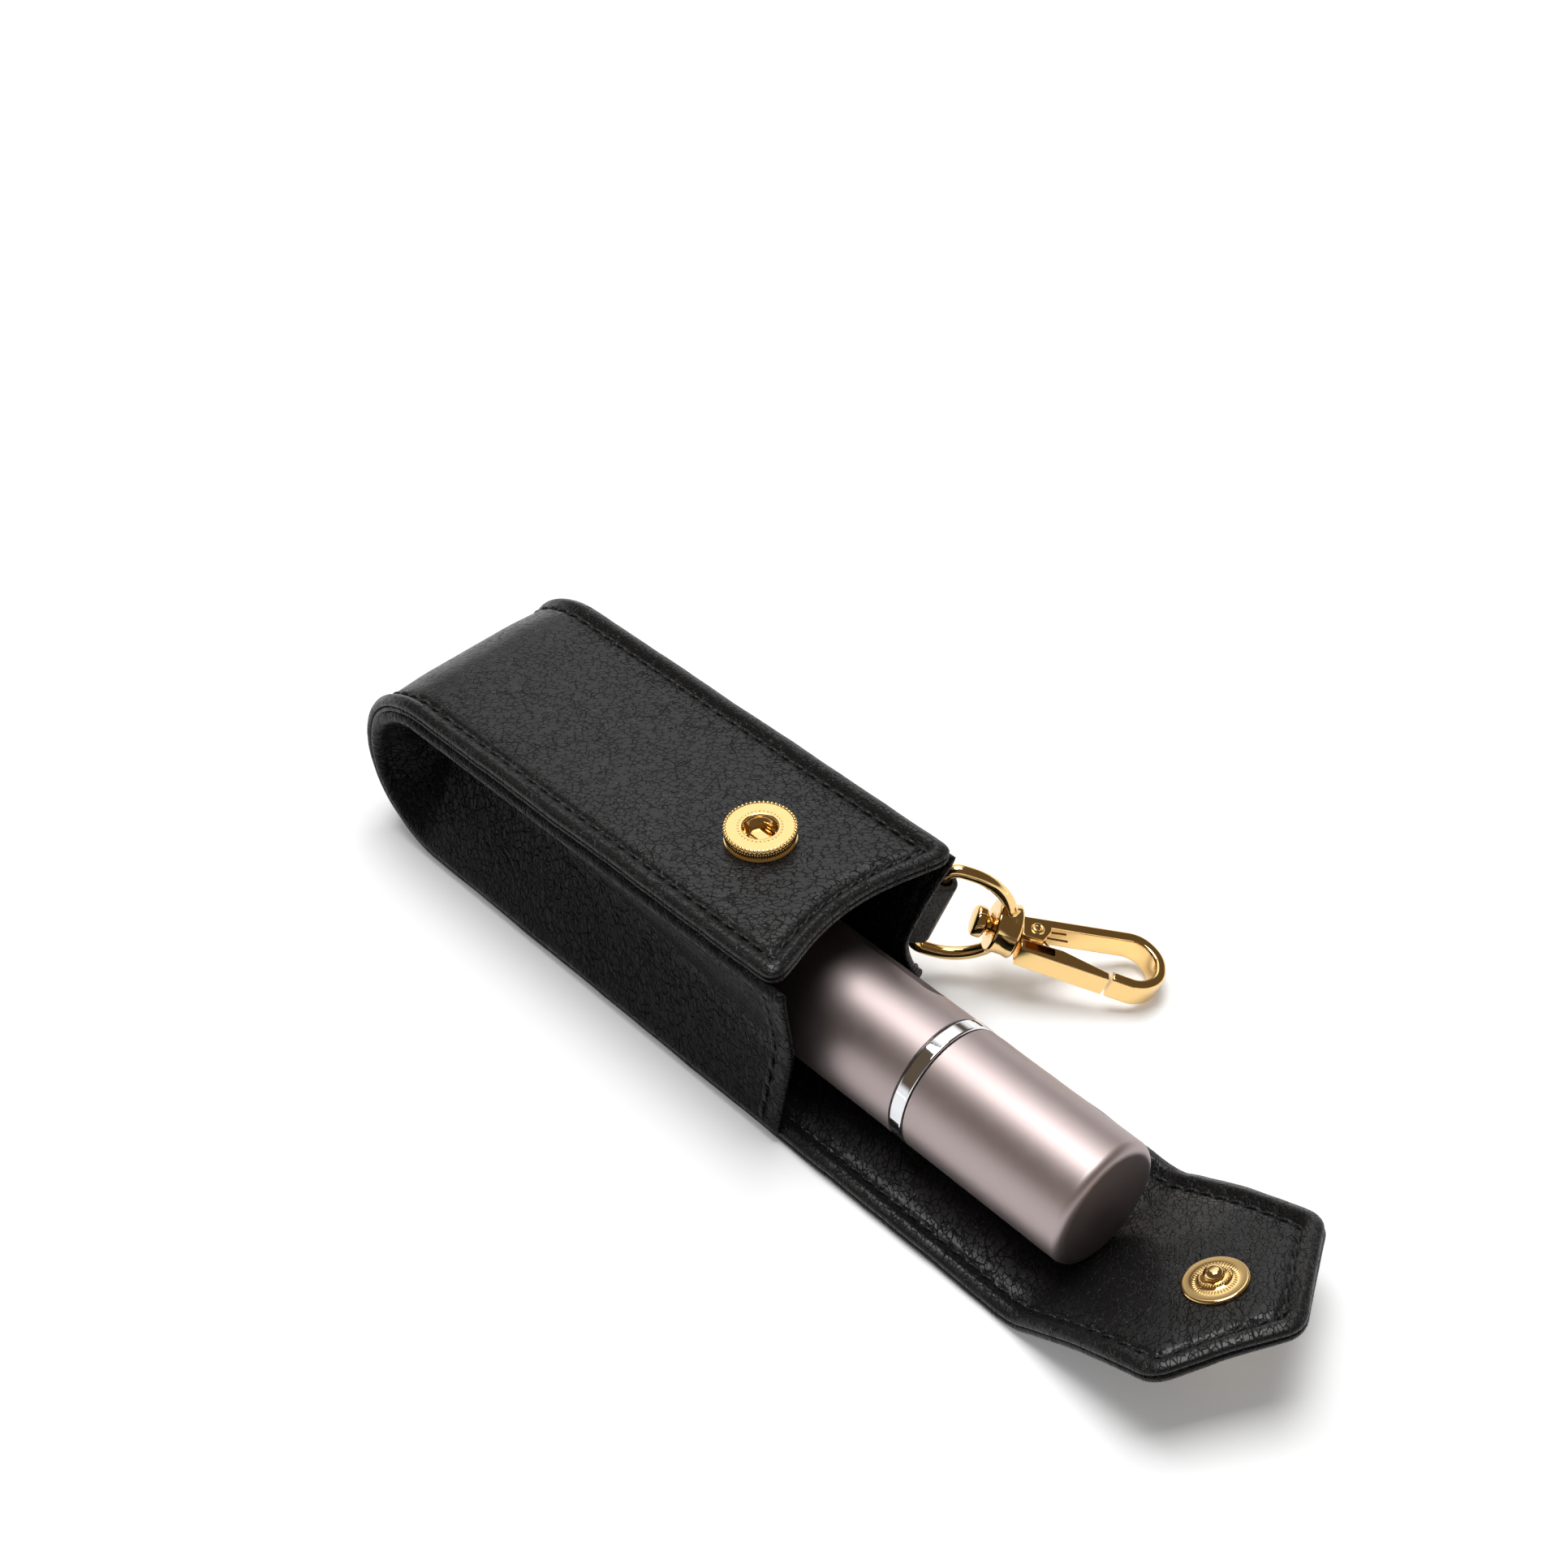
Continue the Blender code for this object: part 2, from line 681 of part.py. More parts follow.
def snap_stud(seat):
    """Add the snap's male half and the cap that holds it from the outside."""
    face = WALL / 2 + CLEARANCE / 2
    disc = face + STUD_DISC - CLEARANCE / 2
    post = STUD_POST_RADIUS
    post_top = disc + STUD_HEIGHT * STUD_POST_SHARE
    bore = STUD_NECK_RADIUS - STUD_WALL
    turned("stud_body", [
        (0.0, disc + STUD_HEIGHT),
        (STUD_BULB_RADIUS * STUD_TIP_SHARE, disc + STUD_HEIGHT),
        (STUD_BULB_RADIUS, disc + STUD_HEIGHT * STUD_BULB_SHARE),
        (STUD_NECK_RADIUS, disc + STUD_HEIGHT * STUD_NECK_SHARE),
        (STUD_NECK_RADIUS, disc),
        (STUD_RADIUS, disc),
        (STUD_RADIUS, face),
        (bore, face),
        (bore, post_top + CLEARANCE / 2),
        (0.0, post_top + CLEARANCE / 2),
    ], GOLD, seat)
    outside = -WALL / 2 - CLEARANCE / 2
    turned("stud_cap", [
        (0.0, post_top - CLEARANCE / 2),
        (post, post_top - CLEARANCE / 2),
        (post, outside),
        (CAP_RADIUS, outside),
        (CAP_RADIUS * 0.94, outside - CAP_DOME * 0.55),
        (CAP_RADIUS * 0.6, outside - CAP_DOME * 0.9),
        (0.0, outside - CAP_DOME),
    ], GOLD, seat)


def eye_path():
    """Middle line of the eye's wire in its own plane, from the collar round the bar and back."""
    top = EYE_HALF_HEIGHT
    corner = rounded([(EYE_FLAT, top), (0.0, top), (0.0, -top), (EYE_FLAT, -top)], EYE_CORNER)
    bow = []
    for step in range(1, 16):
        turn = -pi / 2 + pi * step / 16
        bow.append((EYE_FLAT + (EYE_DEPTH - EYE_FLAT) * cos(turn), top * sin(turn)))
    return [(x, 0.0, z) for x, z in corner + bow]


def swivel_eye(bar):
    """Add the D loop with the collar that the hook's stem turns in."""
    made = part("swivel_eye", wire_mesh("swivel_eye", eye_path(), EYE_WIRE, True, 3), GOLD, bar)
    lie = pivot("collar_axis", (EYE_DEPTH, 0.0, 0.0), (0.0, pi / 2, 0.0), bar)
    edge = COLLAR_RADIUS * 0.12
    collar = turned_cutter("collar", [
        (0.0, COLLAR_FRONT),
        (COLLAR_RADIUS - edge, COLLAR_FRONT),
        (COLLAR_RADIUS, COLLAR_FRONT - edge),
        (COLLAR_RADIUS, edge - COLLAR_BACK),
        (COLLAR_RADIUS - edge, -COLLAR_BACK),
        (0.0, -COLLAR_BACK),
    ], lie, ROUND_STEPS)
    bore = rod_points(STEM_RADIUS + CLEARANCE, -COLLAR_BACK - OVERSHOOT, COLLAR_FRONT + OVERSHOOT)
    boolean(made, collar, "UNION")
    boolean(made, turned_cutter("collar_bore", bore, lie, FINE_STEPS), "DIFFERENCE")


def ring_tab():
    """Add the folded strap round the eye's bar, trimmed where it meets the gusset."""
    place = (MOUTH_X - BAR_BACK, CASE_WIDTH / 2 + BAR_OUT, BAR_HEIGHT)
    frame = pivot("tab_frame", place, (0.0, EYE_PITCH, EYE_YAW))
    hole = EYE_WIRE + CLEARANCE
    outer = hole + TAB_LEATHER
    turn = TAB_YAW - EYE_YAW
    along = Vector((-cos(turn), -sin(turn)))
    aside = Vector((along.y, -along.x))
    outline = []
    for step in range(17):
        angle = pi * step / 16
        outline.append(tuple(aside * (outer * cos(angle)) - along * (outer * sin(angle))))
    for side in (-1, 1):
        outline.append(tuple(along * TAB_REACH + aside * side * TAB_LEATHER))
    made = part("ring_tab", plate_mesh("ring_tab", outline, 2 * TAB_HALF_WIDTH), LEATHER, frame)
    bar_hole = turned_cutter("bar_hole", rod_points(hole, -2 * TAB_HALF_WIDTH, 2 * TAB_HALF_WIDTH), frame)
    boolean(made, bar_hole, "DIFFERENCE")
    wall = CASE_WIDTH / 2 - CLEARANCE - GUSSET_INSET + GUSSET_LEATHER + 2 * CLEARANCE
    trim = box_mesh("tab_trim", (0.0, 0.0, 0.0), (MOUTH_X, wall, 2 * TURN_RADIUS))
    boolean(made, cutter("tab_trim", trim), "DIFFERENCE")


def hook_outline():
    """Outline of the hook's bent strip, seen square to it."""
    bend = HOOK_LENGTH - HOOK_STRIP / 2
    centre = rounded([
        (ROOT_START, HOOK_ARM_ROOT),
        (bend - HOOK_FILLET * 0.9, HOOK_ARM_END),
        (bend, HOOK_ARM_END - HOOK_FILLET * 0.8),
        (bend, HOOK_NOSE_SIDE + HOOK_FILLET * 0.7),
        (bend - HOOK_FILLET * 0.9, HOOK_NOSE_SIDE),
        (HOOK_NOSE_END, HOOK_NOSE_SIDE + HOOK_STRIP * 0.15),
    ], HOOK_FILLET * 1.2, 7)
    return beside(centre, HOOK_STRIP / 2) + beside(centre, -HOOK_STRIP / 2)[::-1]


def hook_frame(stem):
    """Add the hook with its slotted root and its stem."""
    made = part("hook_frame", plate_mesh("hook_frame", hook_outline(), HOOK_HEIGHT, HOOK_EDGE), GOLD, stem)
    half = HOOK_HEIGHT / 2
    side = HOOK_ARM_ROOT + HOOK_STRIP * 0.45
    root = [
        (ROOT_START, side),
        (ROOT_START, ROOT_SIDE),
        (ROOT_BEVEL, ROOT_SIDE),
        (ROOT_END, 0.0),
        (ROOT_END, side),
    ]
    block = cutter("hook_root", plate_mesh("hook_root", root, HOOK_HEIGHT, HOOK_EDGE), stem)
    boolean(made, block, "UNION")
    slot_low = (SLOT_START, ROOT_SIDE - OVERSHOOT, -SLOT_HALF)
    slot_high = (ROOT_END + CLEARANCE, SLOT_SIDE, SLOT_HALF)
    slot = box_mesh("gate_slot", slot_low, slot_high)
    boolean(made, cutter("gate_slot", slot, stem), "DIFFERENCE")
    hole = turned_cutter("pin_hole", rod_points(PIN_RADIUS + CLEARANCE / 2, -half * 2, half * 2), stem)
    hole.location = (PIN_ALONG, PIN_ASIDE, 0.0)
    boolean(made, hole, "DIFFERENCE")
    lie = pivot("stem_axis", (0.0, 0.0, 0.0), (0.0, pi / 2, 0.0), stem)
    rod = rod_points(STEM_RADIUS, -STEM_BACK, ROOT_START + CLEARANCE)
    boolean(made, turned_cutter("hook_stem", rod, lie, FINE_STEPS), "UNION")
    head_back = -STEM_BACK - SWIVEL_HEAD * 0.4
    bore = STEM_RADIUS + CLEARANCE / 3
    turned("swivel_head", [
        (bore, head_back + SWIVEL_HEAD),
        (SWIVEL_HEAD_RADIUS * 0.75, head_back + SWIVEL_HEAD),
        (SWIVEL_HEAD_RADIUS, head_back + SWIVEL_HEAD * 0.75),
        (SWIVEL_HEAD_RADIUS * 0.9, head_back + SWIVEL_HEAD * 0.3),
        (SWIVEL_HEAD_RADIUS * 0.5, head_back),
        (0.0, head_back - SWIVEL_HEAD * 0.1),
        (0.0, -STEM_BACK - CLEARANCE / 3),
        (bore, -STEM_BACK - CLEARANCE / 3),
    ], GOLD, lie, FINE_STEPS, True)


def hook_gate(pin):
    """Add the gate, a bar with a tang that turns on the pin."""
    end = HOOK_NOSE_END - GATE_GAP
    outer_end = HOOK_NOSE_SIDE + HOOK_STRIP * 0.15 - HOOK_STRIP / 2
    bar = [
        (GATE_START - PIN_ALONG, GATE_OUTER_START - PIN_ASIDE),
        (end - PIN_ALONG, outer_end - PIN_ASIDE),
        (end - PIN_ALONG, outer_end + GATE_STRIP - PIN_ASIDE),
        (GATE_START - PIN_ALONG, GATE_OUTER_START + GATE_STRIP - PIN_ASIDE),
    ]
    made = part("hook_gate", plate_mesh("hook_gate", bar, HOOK_HEIGHT - CLEARANCE, HOOK_EDGE), GOLD, pin)
    foot = GATE_OUTER_START + GATE_STRIP / 2 - PIN_ASIDE
    tang = [(-GATE_TANG_RADIUS, foot)]
    for step in range(13):
        angle = pi - pi * step / 12
        tang.append((GATE_TANG_RADIUS * cos(angle), GATE_TANG_RADIUS * sin(angle)))
    tang.append((GATE_TANG_RADIUS, foot))
    plate = cutter("gate_tang", plate_mesh("gate_tang", tang, GATE_TANG_HIGH - GATE_TANG_LOW), pin)
    plate.location.z = (GATE_TANG_HIGH + GATE_TANG_LOW) / 2
    boolean(made, plate, "UNION")
    hole = rod_points(PIN_RADIUS + CLEARANCE / 2, -HOOK_HEIGHT, HOOK_HEIGHT)
    boolean(made, turned_cutter("tang_hole", hole, pin), "DIFFERENCE")


def gate_pin(stem):
    """Add the rivet that the gate turns on."""
    half = HOOK_HEIGHT / 2 + CLEARANCE / 3
    made = turned("gate_pin", [
        (0.0, half + PIN_HEAD),
        (PIN_HEAD_RADIUS, half + PIN_HEAD),
        (PIN_HEAD_RADIUS, half),
        (PIN_RADIUS, half),
        (PIN_RADIUS, -half),
        (PIN_HEAD_RADIUS, -half),
        (PIN_HEAD_RADIUS, -half - PIN_HEAD),
        (0.0, -half - PIN_HEAD),
    ], GOLD, stem, FINE_STEPS)
    made.location = (PIN_ALONG, PIN_ASIDE, 0.0)


def gate_spring(stem):
    """Add the wire spring: a leg on the arm, one curl round the pin and a leg to the gate."""
    slope = (HOOK_ARM_END - HOOK_ARM_ROOT) / (HOOK_LENGTH - HOOK_STRIP / 2 - ROOT_START)
    inner = HOOK_ARM_ROOT - HOOK_STRIP / 2 - SPRING_WIRE - CLEARANCE
    points = []
    for along in (SPRING_LEG, ROOT_END):
        points.append((along, inner + slope * (along - ROOT_START), SPRING_LOW + SPRING_WIRE))
    first = radians(5.0)
    last = radians(325.0)
    for step in range(19):
        turn = first + (last - first) * step / 18
        climb = SPRING_PITCH * (turn - first) / (2 * pi)
        points.append((
            PIN_ALONG + SPRING_RADIUS * cos(turn),
            PIN_ASIDE + SPRING_RADIUS * sin(turn),
            SPRING_LOW + SPRING_WIRE + climb,
        ))
    gate_inner = GATE_OUTER_START + GATE_STRIP + SPRING_WIRE + CLEARANCE
    points.append((ROOT_END, gate_inner, points[-1][2]))
    print("gate spring, least gap to itself", round(least_gap(points, SPRING_WIRE), 5))
    part("gate_spring", wire_mesh("gate_spring", points, SPRING_WIRE), STEEL, stem)


def least_gap(points, wire):
    """Least gap of a wire to its own later turns."""
    path = [Vector(point) for point in points]
    fine = []
    for start, end in zip(path, path[1:]):
        fine += [start.lerp(end, step / 4) for step in range(4)]
    reach = [0.0]
    for start, end in zip(fine, fine[1:]):
        reach.append(reach[-1] + (end - start).length)
    least = 1.0
    for index, point in enumerate(fine):
        for other in range(index + 1, len(fine)):
            if reach[other] - reach[index] > SELF_GAP_WIRES * wire:
                least = min(least, (fine[other] - point).length - 2 * wire)
    return least


def coil_points(radius, start, end, curls):
    """Points of a coil round Z."""
    count = curls * 10
    points = []
    for step in range(count + 1):
        turn = 2 * pi * curls * step / count
        points.append((radius * cos(turn), radius * sin(turn), start + (end - start) * step / count))
    return points


def coil(name, radius, wire, start, end, curls, parent):
    """Add a coil spring and print its least gap."""
    points = coil_points(radius, start + wire, end - wire, curls)
    print(name + ", least gap to itself", round(least_gap(points, wire), 5))
    return part(name, wire_mesh(name, points, wire, False, 1), STEEL, parent)


def sleeve(base):
    """Add the sleeve with its level window."""
    inner = ATOMIZER_RADIUS - SLEEVE_WALL
    start = BASE_RIM + CLEARANCE
    made = turned("atomizer_sleeve", [
        (inner, SLEEVE_END),
        (ATOMIZER_RADIUS, SLEEVE_END),
        (ATOMIZER_RADIUS, start),
        (inner, start),
    ], MAUVE, base, ROUND_STEPS, True)
    side = pivot("window_side", (0.0, 0.0, 0.0), (0.0, 0.0, WINDOW_TURN), base)
    half = WINDOW_WIDTH / 2
    end = RING_START - WINDOW_DROP
    outline = []
    for centre, first in ((end - half, 0.0), (end - WINDOW_LENGTH + half, pi)):
        for step in range(9):
            angle = first + pi * step / 8
            outline.append((half * cos(angle), centre + half * sin(angle)))
    slot = cutter("window_slot", plate_mesh("window_slot", outline, ATOMIZER_RADIUS), side)
    slot.location = (-ATOMIZER_RADIUS, 0.0, 0.0)
    slot.rotation_euler = (pi / 2, 0.0, pi / 2)
    boolean(made, slot, "DIFFERENCE")


def base_and_valve(base, valve):
    """Add the base plug, the filling pin and its spring."""
    inner = ATOMIZER_RADIUS - SLEEVE_WALL - CLEARANCE
    hole = REFILL_PIN_RADIUS + CLEARANCE
    turned("base_plug", [
        (hole, BASE_HEIGHT),
        (inner, BASE_HEIGHT),
        (inner, BASE_RIM),
        (ATOMIZER_RADIUS, BASE_RIM),
        (ATOMIZER_RADIUS - BASE_RIM / 2, 0.0),
        (REFILL_POCKET_RADIUS, 0.0),
        (REFILL_POCKET_RADIUS, REFILL_POCKET),
        (hole, REFILL_POCKET),
    ], PLASTIC, base, ROUND_STEPS, True)
    seal = BASE_HEIGHT + CLEARANCE + BOTTLE_WALL + CLEARANCE
    head = BASE_RIM
    turned("refill_pin", [
        (0.0, seal + BASE_RIM),
        (REFILL_SEAL_RADIUS, seal + BASE_RIM),
        (REFILL_SEAL_RADIUS, seal),
        (REFILL_PIN_RADIUS, seal),
        (REFILL_PIN_RADIUS, head),
        (REFILL_HEAD_RADIUS, head),
        (REFILL_HEAD_RADIUS, head / 2),
        (0.0, head / 2),
    ], PLASTIC, valve, FINE_STEPS)
    coil("refill_spring", REFILL_COIL_RADIUS, REFILL_WIRE, head + CLEARANCE / 2,
         REFILL_POCKET - CLEARANCE / 2, REFILL_CURLS, base)


def bottle(base):
    """Add the bottle behind the window."""
    outer = ATOMIZER_RADIUS - SLEEVE_WALL - CLEARANCE
    inner = outer - BOTTLE_WALL
    floor = BASE_HEIGHT + CLEARANCE
    neck_top = RING_START + CLEARANCE
    neck_foot = neck_top - NECK_LENGTH
    shoulder = neck_foot - (outer - NECK_RADIUS)
    turned("inner_bottle", [
        (NECK_RADIUS - NECK_WALL, neck_top),
        (NECK_RADIUS, neck_top),
        (NECK_RADIUS, neck_foot),
        (outer, shoulder),
        (outer, floor),
        (REFILL_PIN_RADIUS + 2 * CLEARANCE, floor),
        (REFILL_PIN_RADIUS + 2 * CLEARANCE, floor + BOTTLE_WALL),
        (inner, floor + BOTTLE_WALL),
        (inner, shoulder - BOTTLE_WALL / 2),
        (NECK_RADIUS - NECK_WALL, neck_foot - BOTTLE_WALL / 2),
    ], CLEAR, base, ROUND_STEPS, True)


def collar_ring(base):
    """Add the bright ring, whose skirt joins the sleeve and whose collar holds the cap."""
    lip = RING_START + COLLAR_LIP_RISE
    top = RING_START + COLLAR_RISE
    skirt = ATOMIZER_RADIUS - SLEEVE_WALL - CLEARANCE
    neck = NECK_RADIUS + CLEARANCE
    stem = STEM_TUBE_RADIUS + CLEARANCE
    turned("collar_ring", [
        (COLLAR_BORE, top),
        (COLLAR_GRIP_RADIUS, top),
        (COLLAR_GRIP_RADIUS, RING_START + RING_WIDTH),
        (ATOMIZER_RADIUS, RING_START + RING_WIDTH),
        (ATOMIZER_RADIUS, RING_START),
        (skirt, RING_START),
        (skirt, RING_START - COLLAR_SKIRT),
        (neck, RING_START - COLLAR_SKIRT),
        (neck, lip),
        (stem, lip),
        (stem, lip + COLLAR_LIP),
        (COLLAR_BORE, lip + COLLAR_LIP),
    ], CHROME, base, ROUND_STEPS, True)


def pump(base, button):
    """Add the pump's housing, spring, stem and dip tube."""
    bore = HOUSING_RADIUS - HOUSING_WALL
    flange = NECK_RADIUS
    seat = RING_START + 2 * CLEARANCE
    foot = seat - HOUSING_LENGTH
    tube = DIP_RADIUS + CLEARANCE
    floor = foot + HOUSING_FLOOR
    turned("pump_housing", [
        (bore, seat + HOUSING_FLANGE),
        (flange, seat + HOUSING_FLANGE),
        (flange, seat),
        (HOUSING_RADIUS, seat),
        (HOUSING_RADIUS, foot),
        (tube, foot),
        (tube, floor - DIP_RADIUS),
        (DIP_BORE, floor - DIP_RADIUS),
        (DIP_BORE, floor),
        (bore, floor),
    ], PLASTIC, base, FINE_STEPS, True)
    coil("pump_spring", PUMP_COIL_RADIUS, PUMP_WIRE, floor + CLEARANCE,
         PISTON_START - CLEARANCE, PUMP_CURLS, base)
    piston = bore - CLEARANCE
    turned("pump_stem", [
        (0.0, BUTTON_START + BUTTON_SOCKET - CLEARANCE),
        (STEM_TUBE_RADIUS, BUTTON_START + BUTTON_SOCKET - CLEARANCE),
        (STEM_TUBE_RADIUS, PISTON_START + PISTON_HEIGHT),
        (piston, PISTON_START + PISTON_HEIGHT),
        (piston, PISTON_START),
        (0.0, PISTON_START),
    ], PLASTIC, button, FINE_STEPS)
    turned("dip_tube", [
        (DIP_BORE, floor - DIP_RADIUS - CLEARANCE),
        (DIP_RADIUS, floor - DIP_RADIUS - CLEARANCE),
        (DIP_RADIUS, DIP_START),
        (DIP_BORE, DIP_START),
    ], CLEAR, base, POST_STEPS, True)


def spray_button(button):
    """Add the button and the nozzle in its side."""
    hole = STEM_TUBE_RADIUS + CLEARANCE / 2
    edge = BUTTON_RADIUS * 0.12
    end = BUTTON_START + BUTTON_HEIGHT
    made = turned("spray_button", [
        (0.0, end - edge),
        (BUTTON_RADIUS - 3 * edge, end - edge),
        (BUTTON_RADIUS - edge, end),
        (BUTTON_RADIUS, end - edge),
        (BUTTON_RADIUS, BUTTON_START),
        (hole, BUTTON_START),
        (hole, BUTTON_START + BUTTON_SOCKET),
        (0.0, BUTTON_START + BUTTON_SOCKET),
    ], PLASTIC, button, FINE_STEPS)
    side = pivot("nozzle_side", (0.0, 0.0, BUTTON_START + NOZZLE_RISE), (0.0, pi / 2, 0.0), button)
    inside = BUTTON_RADIUS - NOZZLE_DEPTH
    hollow = rod_points(NOZZLE_RADIUS + CLEARANCE / 2, inside, BUTTON_RADIUS + OVERSHOOT)
    boolean(made, turned_cutter("nozzle_hollow", hollow, side), "DIFFERENCE")
    face = BUTTON_RADIUS - CLEARANCE
    turned("nozzle_insert", [
        (0.0, face - NOZZLE_RADIUS / 3),
        (NOZZLE_RADIUS / 3, face),
        (NOZZLE_RADIUS, face),
        (NOZZLE_RADIUS, inside + CLEARANCE / 2),
        (0.0, inside + CLEARANCE / 2),
    ], STEEL, side, POST_STEPS)


def cap(cap_axis):
    """Add the cap and the liner that grips the collar."""
    inner = ATOMIZER_RADIUS - CAP_WALL
    end = ATOMIZER_LENGTH
    top = [(0.0, end)]
    for step in range(7):
        turn = pi / 2 * step / 6
        radius = ATOMIZER_RADIUS - CAP_FILLET + CAP_FILLET * sin(turn)
        top.append((radius, end - CAP_FILLET + CAP_FILLET * cos(turn)))
    turned("atomizer_cap", top + [
        (ATOMIZER_RADIUS, CAP_START),
        (inner, CAP_START),
        (inner, end - CAP_END_WALL - CAP_FILLET / 2),
        (inner - CAP_FILLET / 2, end - CAP_END_WALL),
        (0.0, end - CAP_END_WALL),
    ], MAUVE, cap_axis)
    outer = inner - CLEARANCE / 2
    turned("cap_liner", [
        (outer - LINER_WALL, CAP_START + LINER_LENGTH),
        (outer, CAP_START + LINER_LENGTH),
        (outer, CAP_START + CLEARANCE),
        (outer - LINER_WALL, CAP_START + CLEARANCE),
    ], PLASTIC, cap_axis, FINE_STEPS, True)


def atomizer():
    """Add the atomizer lying in the mouth, its axis along X."""
    place = (ATOMIZER_BASE_X, ATOMIZER_ASIDE, ATOMIZER_Z)
    base = pivot("atomizer_axis", place, (0.0, pi / 2, 0.0))
    valve = pivot("valve_axis", (0.0, 0.0, 0.0), parent=base)
    button = pivot("button_axis", (0.0, 0.0, 0.0), parent=base)
    cap_axis = pivot("cap_axis", (0.0, 0.0, 0.0), parent=base)
    sleeve(base)
    base_and_valve(base, valve)
    bottle(base)
    collar_ring(base)
    pump(base, button)
    spray_button(button)
    cap(cap_axis)


def swivel_hook():
    """Add the tab, the eye, the hook and its gate."""
    ring_tab()
    place = (MOUTH_X - BAR_BACK, CASE_WIDTH / 2 + BAR_OUT, BAR_HEIGHT)
    bar = pivot("eye_bar", place, (0.0, EYE_PITCH, EYE_YAW))
    swivel_eye(bar)
    stem = pivot("hook_stem_axis", (EYE_DEPTH, 0.0, 0.0), parent=bar)
    hook_frame(stem)
    gate_pin(stem)
    gate_spring(stem)
    pin = pivot("gate_axis", (PIN_ALONG, PIN_ASIDE, 0.0), parent=stem)
    hook_gate(pin)


def main():
    """Build the whole part."""
    seat = case_shell()
    snap_socket(seat)
    root = pivot("flap_root", (ROOT_X, 0.0, WALL / 2))
    fold = pivot("flap_fold", (BRIDGE_LENGTH, 0.0, 0.0), parent=root)
    snap_stud(flap(root, fold))
    swivel_hook()
    atomizer()
    print("flap root", ROOT_X, "fold", FOLD_X, "socket", SOCKET_X, "bridge", BRIDGE_LENGTH)
    print("tongue folds on by", TONGUE_TURN - pi / 2, "atomizer travel", ATOMIZER_TRAVEL)


main()
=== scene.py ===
"""Looks of the leather atomizer case: leather, sewing, snap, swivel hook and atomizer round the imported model.

Metres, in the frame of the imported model. The case lies on its back, +X runs from the closed end to the flap,
+Y to the side with the hook.
"""

import json
from collections import namedtuple
from math import atan2, cos, pi, radians, sin, tan

import bmesh
import bpy
import numpy as np
from bpy.props import FloatProperty, FloatVectorProperty, IntProperty, PointerProperty
from bpy.types import Operator, Panel, PropertyGroup
from mathutils import Matrix, Vector


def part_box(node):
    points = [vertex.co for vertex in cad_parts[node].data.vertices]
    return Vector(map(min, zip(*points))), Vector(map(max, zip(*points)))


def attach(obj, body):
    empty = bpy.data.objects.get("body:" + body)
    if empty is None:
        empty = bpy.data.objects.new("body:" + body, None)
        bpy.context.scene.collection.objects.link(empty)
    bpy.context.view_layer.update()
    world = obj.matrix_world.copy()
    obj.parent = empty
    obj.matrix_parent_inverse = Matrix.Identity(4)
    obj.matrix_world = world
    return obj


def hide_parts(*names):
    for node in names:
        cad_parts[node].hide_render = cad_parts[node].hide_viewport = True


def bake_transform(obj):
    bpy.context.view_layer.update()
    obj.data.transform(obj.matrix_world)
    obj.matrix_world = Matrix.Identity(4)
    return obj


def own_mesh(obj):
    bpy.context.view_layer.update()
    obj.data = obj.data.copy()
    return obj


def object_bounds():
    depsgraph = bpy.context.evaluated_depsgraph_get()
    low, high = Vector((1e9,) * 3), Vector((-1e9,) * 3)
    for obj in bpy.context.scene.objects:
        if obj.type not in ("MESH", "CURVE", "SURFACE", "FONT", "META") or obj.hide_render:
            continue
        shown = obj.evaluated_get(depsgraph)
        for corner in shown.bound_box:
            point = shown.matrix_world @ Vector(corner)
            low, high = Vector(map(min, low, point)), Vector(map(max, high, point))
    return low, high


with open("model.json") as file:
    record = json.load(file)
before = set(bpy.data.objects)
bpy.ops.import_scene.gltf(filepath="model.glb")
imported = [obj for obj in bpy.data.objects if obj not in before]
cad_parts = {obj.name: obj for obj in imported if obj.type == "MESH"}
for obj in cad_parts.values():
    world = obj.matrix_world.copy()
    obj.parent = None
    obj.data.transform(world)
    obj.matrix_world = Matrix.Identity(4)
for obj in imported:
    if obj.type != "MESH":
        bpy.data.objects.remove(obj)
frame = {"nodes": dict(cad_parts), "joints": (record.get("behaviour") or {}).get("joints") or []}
CAD_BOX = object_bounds()

bl_info = {
    "name": "Leather Atomizer Case",
    "version": (1, 0, 0),
    "blender": (4, 5, 0),
    "location": "3D View > Sidebar > Case",
    "description": "Makes the leather, sewing and metalwork of an atomizer case round its packed model",
    "category": "Object",
}

JOINTS = {joint["name"]: joint for joint in frame["joints"]}
ROOT = Vector(JOINTS["flap_close"]["pos_m"])
FOLD = Vector(JOINTS["tongue_fold"]["pos_m"])
BAR = Vector(JOINTS["eye_swing"]["pos_m"])
STEM = Vector(JOINTS["hook_swivel"]["pos_m"])
PIN = Vector(JOINTS["gate_open"]["pos_m"])
EYE_OUT = Vector(JOINTS["hook_swivel"]["axis"]).normalized()
EYE_UP = Vector(JOINTS["eye_swing"]["axis"]).normalized()
EYE_SIDE = EYE_UP.cross(EYE_OUT)

